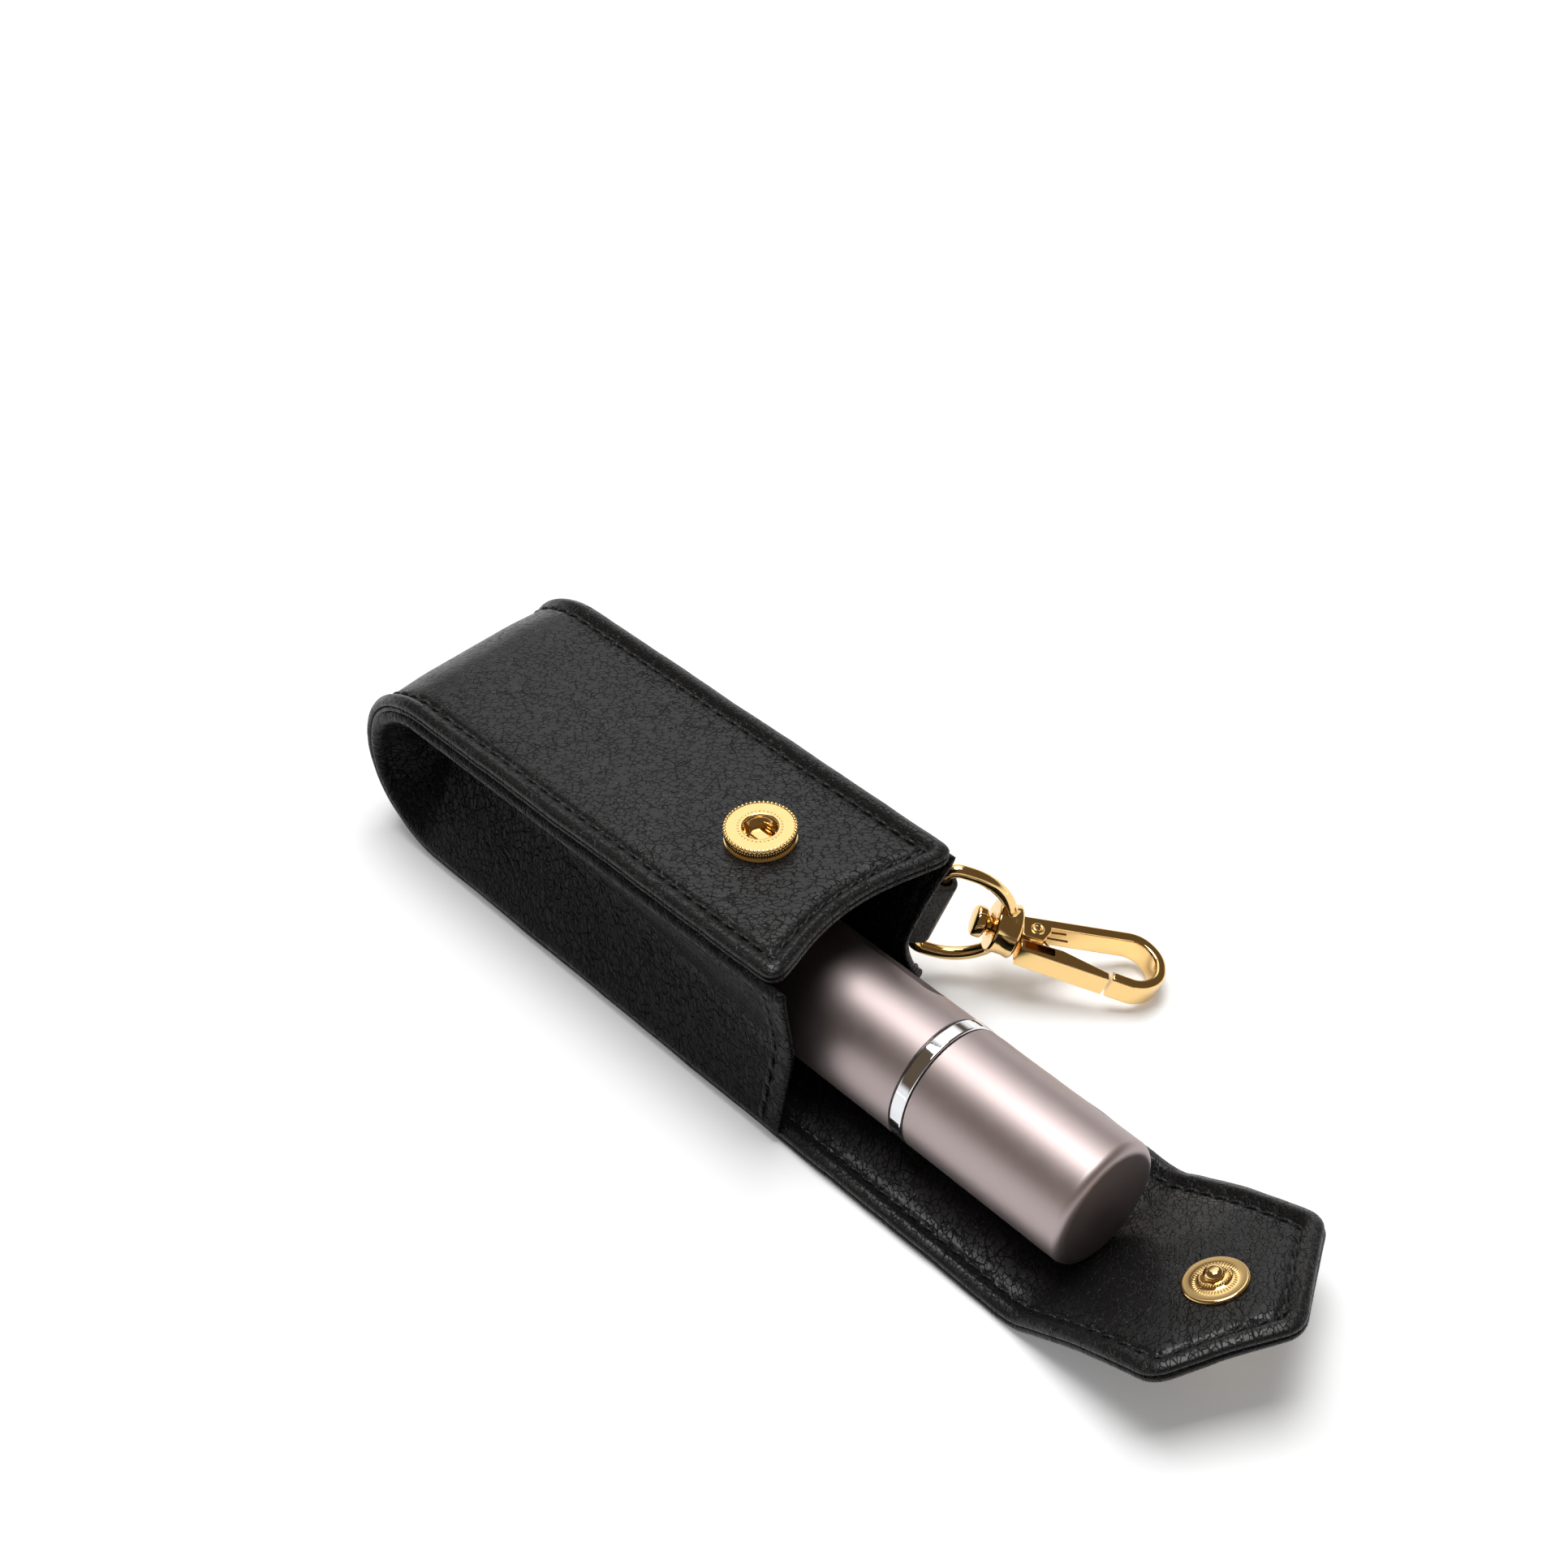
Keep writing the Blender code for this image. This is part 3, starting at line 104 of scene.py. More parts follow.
# Leather strip of the wrap and flap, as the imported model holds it
WALL = 0.0017
WRAP_LOW, WRAP_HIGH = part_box("outer_wrap")
HALF_WIDTH = WRAP_HIGH.y
MOUTH_SETBACK = 0.00355
MOUTH_X = WRAP_HIGH.x - MOUTH_SETBACK
TURN_RADIUS = 0.0135
TURN_CENTRE_X = WRAP_LOW.x + TURN_RADIUS
FRONT_RISE = radians(1.5)
NOTCH_DEPTH = 0.0026
NOTCH_LAND = 0.0020
NOTCH_FADE = 0.0160
NOTCH_POWER = 1.3
SPLIT_PAST_ROOT = 0.0048
TONGUE_ALONG = (0.0, 0.0022, 0.0055, 0.0140, 0.0195, 0.0275, 0.0350)
TONGUE_SLOPES = (0.0, 4.0, 32.0, 29.0, 22.0, 21.5, 8.0)
STUD_ALONG = 0.0224
SHOULDER_ALONG = 0.0260
TIP_ALONG = 0.0350
CORNER_RADIUS = 0.0040
CORNER_POWER = 4.5
BEAD = WALL / 4
BEAD_TURNS = np.radians([-90.0, -55.0, -20.0, 10.0, 40.0, 65.0, 90.0])
RIM_FLAT = np.array([0.65, 0.90, 1.15, 1.40, 1.70, 2.00, 2.30, 2.55, 2.75, 2.95, 3.20, 3.50]) * 0.001
RIM_INWARD = np.concatenate([BEAD * (1 - np.cos(BEAD_TURNS)), RIM_FLAT])
RIM_RISE = np.concatenate([(1 + np.sin(BEAD_TURNS)) / 2, np.ones_like(RIM_FLAT)])
RIM_SHARE = np.linspace(0.0, 1.0, len(RIM_INWARD))
RIM_END = RIM_INWARD[-1]
INNER_COLUMNS = 22
PAINTED = 0.0024
WELD = 0.0000005
CURVE_WELD = 0.000001
SHARP_LEATHER = radians(60.0)
SHARP_METAL = radians(32.0)

# Spacing of the rows of points along the strip
PATH_STEP = 0.00005
PATH_SPARE = 0.001
PANEL_PITCH = 0.0009
TURN_PITCH = 0.0007
BACK_PITCH = 0.0012
BRIDGE_PITCH = 0.0011
FOLD_PITCH = 0.0006
SLANT_PITCH = 0.0008
PAST_ROOT = 0.004
BEFORE_FOLD = 0.006
PAST_FOLD = 0.008
CORNER_STEPS = 6
TIP_STEPS = 5

# Shape of the leather's face by the distance from its edge
PULL_SHARES = (0.55, 0.75)
PULL_WIDTH = 0.00055
CROWN_SPAN = (0.0035, 0.009)
SWELL_AT = 0.00120
SWELL_WIDTH = 0.00075
BORDER_WIDTH = 0.007
BACK_OVERLAP = 0.003
TONGUE_SWELL_SPAN = (0.003, 0.009)
FREE_PAST_ROOT = 0.006
RIPPLE_SPAN = (0.003, 0.006)
RIPPLE_ALONG = (2.3, 0.6)
RIPPLE_ACROSS = (2.1, 0.4)
EDGE_PHASE = 1.7
CURL_PHASE = 2.9
EDGE_WAVES = ((0.0173, 0.5, 1.1), (0.0079, 0.3, 2.7), (0.0288, 0.6, 0.4), (0.0041, 0.14, 5.2))


def colour_setting(name, description, default):
    """Setting for the colour of a finish."""
    return FloatVectorProperty(name=name, description=description, default=(*default, 1.0), subtype="COLOR",
                               size=4, min=0.0, max=1.0)


def length_setting(name, description, default):
    """Setting for a length in metres."""
    return FloatProperty(name=name, description=description, default=default, unit="LENGTH")


def angle_setting(name, description, degrees):
    """Setting for an angle."""
    return FloatProperty(name=name, description=description, default=radians(degrees), subtype="ANGLE")


def place_setting(name, description, default):
    """Setting for a point in metres."""
    return FloatVectorProperty(name=name, description=description, default=default, subtype="TRANSLATION")


def count_setting(name, description, default):
    """Setting for how many marks go round a ring."""
    return IntProperty(name=name, description=description, default=default, min=8)


class LeatherFinish(PropertyGroup):
    """Sizes and colours of the leather and its sewing."""

    colour: colour_setting("Leather", "Colour of the grained leather", (0.0062, 0.0062, 0.0065))
    edge_colour: colour_setting("Edge paint", "Colour of the painted edges", (0.0055, 0.0055, 0.0058))
    thread_colour: colour_setting("Thread", "Colour of the sewing thread", (0.0035, 0.0035, 0.0038))
    grain: length_setting("Grain", "Width of one pebble of the grain", 0.00062)
    edge_swell: length_setting("Swell", "How far the painted border stands proud", 0.00045)
    stitch_inset: length_setting("Stitch inset", "Distance of the sewing from the edge", 0.00270)
    stitch_pitch: length_setting("Stitch pitch", "Distance from stitch to stitch", 0.00250)
    stitch_length: length_setting("Stitch", "Length of one stitch", 0.00205)
    thread: length_setting("Thread width", "Thickness of the thread", 0.00060)
    slant: angle_setting("Slant", "Turn of each stitch from its line", 11.0)
    valley: length_setting("Pull", "How deep the sewing pulls the leather in", 0.00040)
    crown: length_setting("Crown", "How far the padded middle rises", 0.00022)
    wave: length_setting("Wave", "How far the hand-cut edge wanders", 0.00006)
    curl: length_setting("Curl", "How far the flap's edge lifts", 0.00010)
    ripple: length_setting("Ripple", "Height of the flap's soft unevenness", 0.00012)


class MetalFinish(PropertyGroup):
    """Colours and counts of the metalwork."""

    gold: colour_setting("Gold", "Colour of the plated hook and snap", (0.91, 0.63, 0.27))
    mauve: colour_setting("Mauve", "Colour of the anodised sleeve and cap", (0.47, 0.395, 0.39))
    chrome: colour_setting("Chrome", "Colour of the ring", (0.80, 0.81, 0.83))
    steel: colour_setting("Steel", "Colour of springs and rivets", (0.58, 0.57, 0.55))
    rim_dots: count_setting("Rim dots", "Dots round the snap's rim", 52)
    hole_dots: count_setting("Hole dots", "Dots round the snap's hole", 34)
    stud_ridges: count_setting("Stud ridges", "Ridges round the stud's disc", 44)
    flutes: count_setting("Flutes", "Flutes round the snap's wall", 84)


class StageSettings(PropertyGroup):
    """Camera and light."""

    azimuth: angle_setting("Azimuth", "Camera's turn from straight ahead", 46.35)
    elevation: angle_setting("Elevation", "Camera's height as an angle", 43.25)
    roll: angle_setting("Roll", "Camera's tilt", 0.43)
    distance: length_setting("Distance", "From the aim to the camera", 0.34721)
    aim: place_setting("Aim", "Point the camera looks at", (0.00042, 0.02236, 0.0120))
    lens: FloatProperty(name="Lens", description="Focal length in millimetres", default=59.13)
    key_place: place_setting("Key place", "Where the soft light hangs", (-0.12, 0.09, 1.12))
    key_size: length_setting("Key size", "Width of the soft light", 0.65)
    key_power: FloatProperty(name="Key", description="Power of the soft light in watts", default=10.5)
    ambient: FloatProperty(name="Ambient", description="Strength of the light from all round", default=0.20)


def front_height(x, depth=0.0):
    """Height of the front panel at x, counted down from its outer face."""
    foot = TURN_CENTRE_X - (TURN_RADIUS - depth) * sin(FRONT_RISE)
    return TURN_RADIUS + (TURN_RADIUS - depth) * cos(FRONT_RISE) + (x - foot) * tan(FRONT_RISE)


def run(steps):
    """Distance run at each point, from the steps between the points."""
    return np.concatenate([[0.0], np.cumsum(steps)])


class StripPath:
    """Middle line of the leather strip, from the front panel's mouth edge to the flap's tip."""

    def __init__(self):
        radius = TURN_RADIUS - WALL / 2
        foot = TURN_CENTRE_X - radius * sin(FRONT_RISE)
        self.turn_start = (MOUTH_X - foot) / cos(FRONT_RISE)
        self.turn_end = self.turn_start + radius * (pi - FRONT_RISE)
        self.root = self.turn_end + ROOT.x - TURN_CENTRE_X
        self.fold = self.root + FOLD.x - ROOT.x
        self.split = self.root + SPLIT_PAST_ROOT
        self.mouth_below = self.root - (ROOT.x - MOUTH_X)
        self.end = self.fold + TIP_ALONG
        knots = [0.0, self.turn_start, self.turn_end] + [self.fold + along for along in TONGUE_ALONG]
        turns = [pi + FRONT_RISE, pi + FRONT_RISE, 2 * pi]
        turns += [2 * pi + radians(slope) for slope in TONGUE_SLOPES]
        self.along = np.arange(0.0, self.end + PATH_SPARE, PATH_STEP)
        self.heading = np.interp(self.along, knots, turns)
        step = np.diff(self.along)
        middle = (self.heading[1:] + self.heading[:-1]) / 2
        start = (MOUTH_X, front_height(MOUTH_X, WALL / 2))
        self.x = start[0] + run(np.cos(middle) * step)
        self.z = start[1] + run(np.sin(middle) * step)

    def place(self, along, across, rise):
        """Points on the strip, with rise counted towards its outer face, and that face's direction."""
        heading = np.interp(along, self.along, self.heading)
        out = np.stack([np.sin(heading), np.zeros_like(heading), -np.cos(heading)], axis=-1)
        x = np.interp(along, self.along, self.x)
        z = np.interp(along, self.along, self.z)
        middle = np.stack([x, across * np.ones_like(heading), z], axis=-1)
        return middle + out * np.asarray(rise)[..., None], out


STRIP = StripPath()


def spaced(start, end, pitch):
    """Even stations from start up to, but not with, the end."""
    return np.linspace(start, end, max(int(round((end - start) / pitch)), 1), endpoint=False)


def half_outline():
    """One long edge of the flat strip: distance along, half width, and the direction out of the edge."""
    shoulder = STRIP.fold + SHOULDER_ALONG
    tip = STRIP.fold + TIP_ALONG
    lean = atan2(TIP_ALONG - SHOULDER_ALONG, HALF_WIDTH)
    turn = pi / 2 - lean
    arc_start = shoulder - CORNER_RADIUS * tan(turn / 2)
    stretches = (
        (STRIP.turn_start, PANEL_PITCH), (STRIP.turn_end, TURN_PITCH), (STRIP.mouth_below, BACK_PITCH),
        (STRIP.root + PAST_ROOT, TURN_PITCH), (STRIP.fold - BEFORE_FOLD, BRIDGE_PITCH),
        (STRIP.fold + PAST_FOLD, FOLD_PITCH), (arc_start, PANEL_PITCH),
    )
    rows = [(along, HALF_WIDTH, pi / 2) for along in RIM_INWARD[:-1]]
    start = RIM_END
    for end, pitch in stretches:
        rows += [(along, HALF_WIDTH, pi / 2) for along in spaced(start, end, pitch)]
        start = end
    for step in range(CORNER_STEPS + 1):
        angle = pi / 2 - turn * step / CORNER_STEPS
        half = HALF_WIDTH - CORNER_RADIUS * (1 - sin(angle))
        rows.append((arc_start + CORNER_RADIUS * cos(angle), half, angle))
    centre = tip - CORNER_RADIUS / cos(lean)
    first = Vector(rows[-1][:2])
    last = Vector((centre + CORNER_RADIUS * cos(lean), CORNER_RADIUS * sin(lean)))
    for share in spaced(0.0, 1.0, SLANT_PITCH / (last - first).length)[1:]:
        rows.append((*first.lerp(last, share), lean))
    for step in range(TIP_STEPS + 1):
        angle = lean * (1 - step / TIP_STEPS)
        rows.append((centre + CORNER_RADIUS * cos(angle), CORNER_RADIUS * sin(angle), angle))
    return np.array(rows)


def edge_length(rows):
    """Distance run along a long edge at each of its rows."""
    return run(np.hypot(np.diff(rows[:, 0]), np.diff(rows[:, 1])))


def notch_reach(across):
    """How far the hollow mouth edge lies back at one place across the front panel."""
    chord = HALF_WIDTH - NOTCH_LAND
    return NOTCH_DEPTH * np.clip(1 - (across / chord) ** 2, 0.0, None) ** NOTCH_POWER


def mouth_corner(row, column):
    """Inward distance, rise share and place of a point in the mouth's rounded corner, by its two shares."""
    u, v = 1 - row, 1 - column
    reach_u = u * np.sqrt(1 - v * v / 2)
    reach_v = v * np.sqrt(1 - u * u / 2)
    reach = np.hypot(reach_u, reach_v)
    inward = np.interp(1 - reach, RIM_SHARE, RIM_INWARD)
    rise = np.interp(1 - reach, RIM_SHARE, RIM_RISE)
    safe = np.maximum(reach, WELD)
    ahead, aside = reach_u / safe, reach_v / safe
    stretch = (ahead ** CORNER_POWER + aside ** CORNER_POWER + WELD) ** (-1 / CORNER_POWER)
    radius = (RIM_END - inward) * np.where(reach > WELD, stretch, 0.0)
    return inward, rise, RIM_END - radius * ahead, RIM_END - radius * aside


def flat_grid():
    """Grid of the flat strip: distance along, place across, edge distance, rise share and edge length."""
    rows = half_outline()
    ring_s = rows[:, :1] - RIM_INWARD * np.cos(rows[:, 2:])
    ring_y = rows[:, 1:2] - RIM_INWARD * np.sin(rows[:, 2:])
    ring_edge = np.repeat(RIM_INWARD[None, :], len(rows), axis=0)
    ring_rise = np.repeat(RIM_RISE[None, :], len(rows), axis=0)
    rim = len(RIM_INWARD)
    share = np.linspace(-1.0, 1.0, INNER_COLUMNS + 1)[1:-1]
    inner_y = ring_y[:, -1:] * share
    inner_s = np.repeat(ring_s[:, -1:], len(share), axis=1)
    inner_edge = RIM_END + ring_y[:, -1:] - np.abs(inner_y)
    inner_rise = np.ones_like(inner_y)
    inner_edge[:rim] = np.minimum(inner_edge[:rim], RIM_INWARD[:, None])
    inner_rise[:rim] = RIM_RISE[:, None]
    corner = mouth_corner(RIM_SHARE[:, None], RIM_SHARE[None, :])
    ring_edge[:rim], ring_rise[:rim], ring_s[:rim] = corner[:3]
    ring_y[:rim] = HALF_WIDTH - corner[3]
    along = np.hstack([ring_s, inner_s, ring_s[:, ::-1]])
    across = np.hstack([-ring_y, inner_y, ring_y[:, ::-1]])
    edge = np.hstack([ring_edge, inner_edge, ring_edge[:, ::-1]])
    rise = np.hstack([ring_rise, inner_rise, ring_rise[:, ::-1]])
    length = edge_length(rows)[:, None] * np.ones_like(along)
    fade = np.clip(1 - along / NOTCH_FADE, 0.0, 1.0)
    along = along + notch_reach(across) * fade
    return along, across, edge, rise, length


def bell(value, centre, width):
    """Soft bump of height one."""
    return np.exp(-((value - centre) / width) ** 2)


def ramp(value, start, end):
    """Soft step from nought to one."""
    share = np.clip((value - start) / (end - start), 0.0, 1.0)
    return share * share * (3 - 2 * share)


def wander(length, phase):
    """Slow uneven wave of a hand-cut edge."""
    return sum(size * np.sin(2 * pi * length / pitch + start + phase) for pitch, size, start in EDGE_WAVES)


def stitch_beat(leather, length, level, swing):
    """Even beat of the sewing's pull, deepest at each stitch hole."""
    return level + swing * (0.5 + 0.5 * np.cos(2 * pi * length / leather.stitch_pitch))


def face_rise(leather, edge, rise, length):
    """Rise of a leather face over the middle of the strip at one distance from the edge."""
    beat = stitch_beat(leather, length, *PULL_SHARES)
    pull = leather.valley * beat * bell(edge, leather.stitch_inset, PULL_WIDTH)
    crown = leather.crown * ramp(edge, *CROWN_SPAN)
    swell = leather.edge_swell * bell(edge, SWELL_AT, SWELL_WIDTH)
    return WALL / 2 * rise + (crown + swell - pull) * np.clip(rise * 2 - 1, 0.0, 1.0)


def strip_faces(leather):
    """Outer and inner face of the whole strip as grids of points, with flat places and edge distances."""
    along, across, edge, rise, length = flat_grid()
    side = across / HALF_WIDTH
    border = np.clip(1 - edge / BORDER_WIDTH, 0.0, 1.0)
    across = across + side * leather.wave * wander(length, side * EDGE_PHASE) * border
    flat_back = along > STRIP.turn_end - BACK_OVERLAP
    inside_case = along < STRIP.mouth_below
    swollen = face_rise(leather, edge, rise, length)
    level = np.minimum(swollen, WALL / 2)
    lifted = ramp(along - STRIP.fold, *TONGUE_SWELL_SPAN)
    outer_rise = np.where(flat_back, level + (swollen - level) * lifted, swollen)
    inner_rise = np.where(inside_case, level, swollen)
    free = ramp(along, STRIP.mouth_below, STRIP.root + FREE_PAST_ROOT)
    curl = leather.curl * (1 + wander(length, side * CURL_PHASE)) * border ** 2 * free
    lengthwise = wander(along * RIPPLE_ALONG[0] + across * RIPPLE_ALONG[1], 0.0)
    crosswise = wander(across * RIPPLE_ACROSS[0] - along * RIPPLE_ACROSS[1], 1.0)
    ripple = leather.ripple * lengthwise * crosswise * ramp(edge, *RIPPLE_SPAN) * free
    outer, _ = STRIP.place(along, across, outer_rise - curl)
    inner, _ = STRIP.place(along, across, -inner_rise - curl + ripple)
    return outer, inner, np.stack([along, across], axis=-1), edge


def grid_faces(rows, columns, start, flip):
    """Quads of a grid of points."""
    index = np.arange(rows * columns).reshape(rows, columns) + start
    quads = np.stack([index[:-1, :-1], index[:-1, 1:], index[1:, 1:], index[1:, :-1]], axis=-1).reshape(-1, 4)
    return quads[:, ::-1] if flip else quads


def welded_mesh(name, points, quads, flat, kinds):
    """Make a closed mesh from quads, with points at one place joined and a flat map kept."""
    _, first, inverse = np.unique(np.round(points / WELD).astype(np.int64), axis=0, return_index=True,
                                  return_inverse=True)
    inverse = inverse.reshape(-1)
    faces, corners, kept = [], [], []
    for quad, kind in zip(quads, kinds):
        face, map_corner = [], []
        for corner in quad:
            if inverse[corner] not in face:
                face.append(inverse[corner])
                map_corner.append(corner)
        if len(face) > 2:
            faces.append([int(item) for item in face])
            corners += map_corner
            kept.append(int(kind))
    mesh = bpy.data.meshes.new(name)
    mesh.from_pydata(points[first].tolist(), [], faces)
    chart = mesh.uv_layers.new(name="flat")
    chart.data.foreach_set("uv", flat[corners].astype(np.float32).ravel())
    mesh.polygons.foreach_set("material_index", kept)
    mesh.polygons.foreach_set("use_smooth", [True] * len(kept))
    shape = bmesh.new()
    shape.from_mesh(mesh)
    bmesh.ops.recalc_face_normals(shape, faces=shape.faces)
    shape.to_mesh(mesh)
    shape.free()
    mesh.set_sharp_from_angle(angle=SHARP_LEATHER)
    return mesh


def leather_mesh(name, outer, inner, flat, painted, open_rows=()):
    """Make a leather piece from its two faces, which meet at the edge; open rows get an end face."""
    rows, columns = painted.shape
    count = rows * columns
    points = np.concatenate([outer.reshape(-1, 3), inner.reshape(-1, 3)])
    charts = np.concatenate([flat.reshape(-1, 2), flat.reshape(-1, 2)])
    quads = [grid_faces(rows, columns, 0, False), grid_faces(rows, columns, count, True)]
    border = (painted[:-1, :-1] & painted[1:, 1:]).reshape(-1)
    kinds = [np.where(border, 1, 0), np.where(border, 1, 2)]
    for row in open_rows:
        top = np.arange(columns) + row * columns
        quads.append(np.stack([top[:-1], top[1:], top[1:] + count, top[:-1] + count], axis=-1))
        kinds.append(np.zeros(columns - 1, int))
    return welded_mesh(name, points, np.concatenate(quads), charts, np.concatenate(kinds))


def add_piece(name, mesh, materials):
    """Add one finished piece at the origin, with its place in its mesh."""
    made = held(name, mesh)
    mesh.materials.clear()
    for finish in materials:
        mesh.materials.append(finish)
    return made


def fitted(name, mesh, finish, slot, body, *nodes):
    """Add a piece that rides on one body in place of its nodes."""
    made = add_piece(name, mesh, [FINISHES[finish]])
    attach(made, body)
    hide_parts(*nodes)
    return made


def baked(holder):
    """Turn an object with its modifiers into a plain mesh and remove the object."""
    bpy.context.view_layer.update()
    seen = holder.evaluated_get(bpy.context.evaluated_depsgraph_get())
    mesh = bpy.data.meshes.new_from_object(seen)
    bpy.data.objects.remove(holder)
    return mesh


def held(name, data):
    """Put a mesh, curve, lamp or camera on an object in the scene."""
    holder = bpy.data.objects.new(name, data)
    bpy.context.scene.collection.objects.link(holder)
    return holder


def shape_mesh(name, shape):
    """Turn a worked shape into a mesh and drop the shape."""
    mesh = bpy.data.meshes.new(name)
    shape.to_mesh(mesh)
    shape.free()
    return mesh


def joined(name, meshes):
    """Join meshes into one, with the faces kept as they are."""
    shape = bmesh.new()
    for mesh in meshes:
        shape.from_mesh(mesh)
    return shape_mesh(name, shape)


def softened(mesh):
    """Shade a mesh smooth, with its real corners kept sharp and its flats kept flat."""
    mesh.polygons.foreach_set("use_smooth", [True] * len(mesh.polygons))
    mesh.set_sharp_from_angle(angle=SHARP_METAL)
    holder = held("soft", mesh)
    holder.modifiers.new("flat_faces", "WEIGHTED_NORMAL").keep_sharp = True
    return baked(holder)


def turned_mesh(name, profile, steps):
    """Turn a closed or capped profile of radius and height pairs once round Z."""
    shape = bmesh.new()
    rings = []
    for radius, height in profile:
        if radius < WELD:
            rings.append([shape.verts.new((0.0, 0.0, height))])
            continue
        ring = []
        for step in range(steps):
            angle = 2 * pi * step / steps
            ring.append(shape.verts.new((radius * cos(angle), radius * sin(angle), height)))
        rings.append(ring)
    pairs = list(zip(rings, rings[1:]))
    if len(rings[0]) > 1:
        pairs.append((rings[-1], rings[0]))
    for upper, lower in pairs:
        for step in range(steps):
            corners = [upper[step % len(upper)], lower[step % len(lower)],
                       lower[(step + 1) % len(lower)], upper[(step + 1) % len(upper)]]
            face = list(dict.fromkeys(corners))
            if len(face) > 2:
                shape.faces.new(face)
    bmesh.ops.recalc_face_normals(shape, faces=shape.faces)
    return softened(shape_mesh(name, shape))


def arc_points(centre, radius, start, end, steps):
    """Points of an arc in radius and height, with angles in degrees."""
    turns = [radians(start + (end - start) * step / steps) for step in range(steps + 1)]
    return [(centre[0] + radius * cos(turn), centre[1] + radius * sin(turn)) for turn in turns]


def curve_mesh(name, curve):
    """Make a closed mesh from a curve and drop the curve."""
    mesh = baked(held(name, curve))
    bpy.data.curves.remove(curve)
    shape = bmesh.new()
    shape.from_mesh(mesh)
    bmesh.ops.remove_doubles(shape, verts=shape.verts, dist=CURVE_WELD)
    bmesh.ops.recalc_face_normals(shape, faces=shape.faces)
    shape.to_mesh(mesh)
    shape.free()
    return softened(mesh)


# Roundness of a wire, of a plate's edge and of a bore
WIRE_SMOOTH = 7
EDGE_SMOOTH = 3
BORE_STEPS = 40


def bevelled_curve(name, dimensions, points, bevel, smooth):
    """Start a closed curve through points, with a round section."""
    curve = bpy.data.curves.new(name, "CURVE")
    curve.dimensions = dimensions
    curve.bevel_depth = bevel
    curve.bevel_resolution = smooth
    line = curve.splines.new("POLY")
    line.points.add(len(points) - 1)
    for place, point in zip(line.points, points):
        place.co = (*point, 1.0)
    line.use_cyclic_u = True
    return curve


def wire_mesh(name, points, radius):
    """Make a closed loop of round wire."""
    return curve_mesh(name, bevelled_curve(name, "3D", points, radius, WIRE_SMOOTH))


def plate_mesh(name, outline, thickness, edge):
    """Make a plate from an outline, with rounded edges."""
    curve = bevelled_curve(name, "2D", [(*point, 0.0) for point in outline], edge, EDGE_SMOOTH)
    curve.fill_mode = "BOTH"
    curve.extrude = thickness / 2 - edge
    curve.offset = -edge
    return curve_mesh(name, curve)


def box_mesh(low, high):
    """Make a box between two corners."""
    shape = bmesh.new()
    bmesh.ops.create_cube(shape, size=1.0)
    low, high = Vector(low), Vector(high)
    for vertex in shape.verts:
        vertex.co = (low + high) / 2 + Vector(a * b for a, b in zip(vertex.co, high - low))
    return shape_mesh("box", shape)


def rod_mesh(radius, low, high, steps=BORE_STEPS):
    """Make a plain rod along Z."""
    return turned_mesh("rod", [(0.0, high), (radius, high), (radius, low), (0.0, low)], steps)


def combined(mesh, others):
    """Join to a mesh, or cut from it, other meshes in turn."""
    holder = held("work", mesh)
    tools = []
    for operation, other in others:
        tool = held("tool", other)
        tools.append(tool)
        step = holder.modifiers.new("shape", "BOOLEAN")
        step.operation = operation
        step.object = tool
        step.solver = "EXACT"
    made = baked(holder)
    for tool in tools:
        bpy.data.objects.remove(tool)
    return softened(made)


def fillet(before, corner, after, radius, steps):
    """Points of the arc that rounds one corner of a plane path."""
    back = (Vector(before) - Vector(corner)).normalized()
    ahead = (Vector(after) - Vector(corner)).normalized()
    half = back.angle(ahead) / 2
    centre = Vector(corner) + (back + ahead).normalized() * (radius / sin(half))
    start = Vector(corner) + back * (radius / tan(half)) - centre
    end = Vector(corner) + ahead * (radius / tan(half)) - centre
    first = atan2(start.y, start.x)
    sweep = (atan2(end.y, end.x) - first + pi) % (2 * pi) - pi
    turns = [first + sweep * step / steps for step in range(steps + 1)]
    return [(centre.x + radius * cos(a), centre.y + radius * sin(a)) for a in turns]


def rounded_path(points, radius, steps=10):
    """Round the inner corners of a plane path."""
    path = [points[0]]
    for before, corner, after in zip(points, points[1:], points[2:]):
        path += fillet(before, corner, after, radius, steps)
    path.append(points[-1])
    return path


def beside(path, distance):
    """Points at one distance to the left of a plane path."""
    moved = []
    for index, point in enumerate(path):
        behind = Vector(path[max(index - 1, 0)])
        ahead = Vector(path[min(index + 1, len(path) - 1)])
        along = (ahead - behind).normalized()
        moved.append((point[0] - along.y * distance, point[1] + along.x * distance))
    return moved


def eye_place(origin):
    """Place of the eye or hook: out along X, sideways Y, up the bar Z."""
    made = Matrix((EYE_OUT, EYE_SIDE, EYE_UP)).transposed().to_4x4()
    made.translation = origin
    return made


# Sockets of a mix node for its two colours and its result
MIX_FIRST = 6
MIX_SECOND = 7
MIX_RESULT = 2


def node(tree, kind, inputs=None, **properties):
    """Add one node, set its properties and its input values."""
    made = tree.nodes.new(kind)
    for name, value in properties.items():
        setattr(made, name, value)
    for key, value in (inputs or {}).items():
        if isinstance(value, bpy.types.NodeSocket):
            tree.links.new(value, made.inputs[key])
        else:
            made.inputs[key].default_value = value
    return made


def math(tree, operation, first, second=0.0, clamp=False):
    """Add one sum and give its result."""
    made = node(tree, "ShaderNodeMath", {0: first, 1: second}, operation=operation, use_clamp=clamp)
    return made.outputs[0]


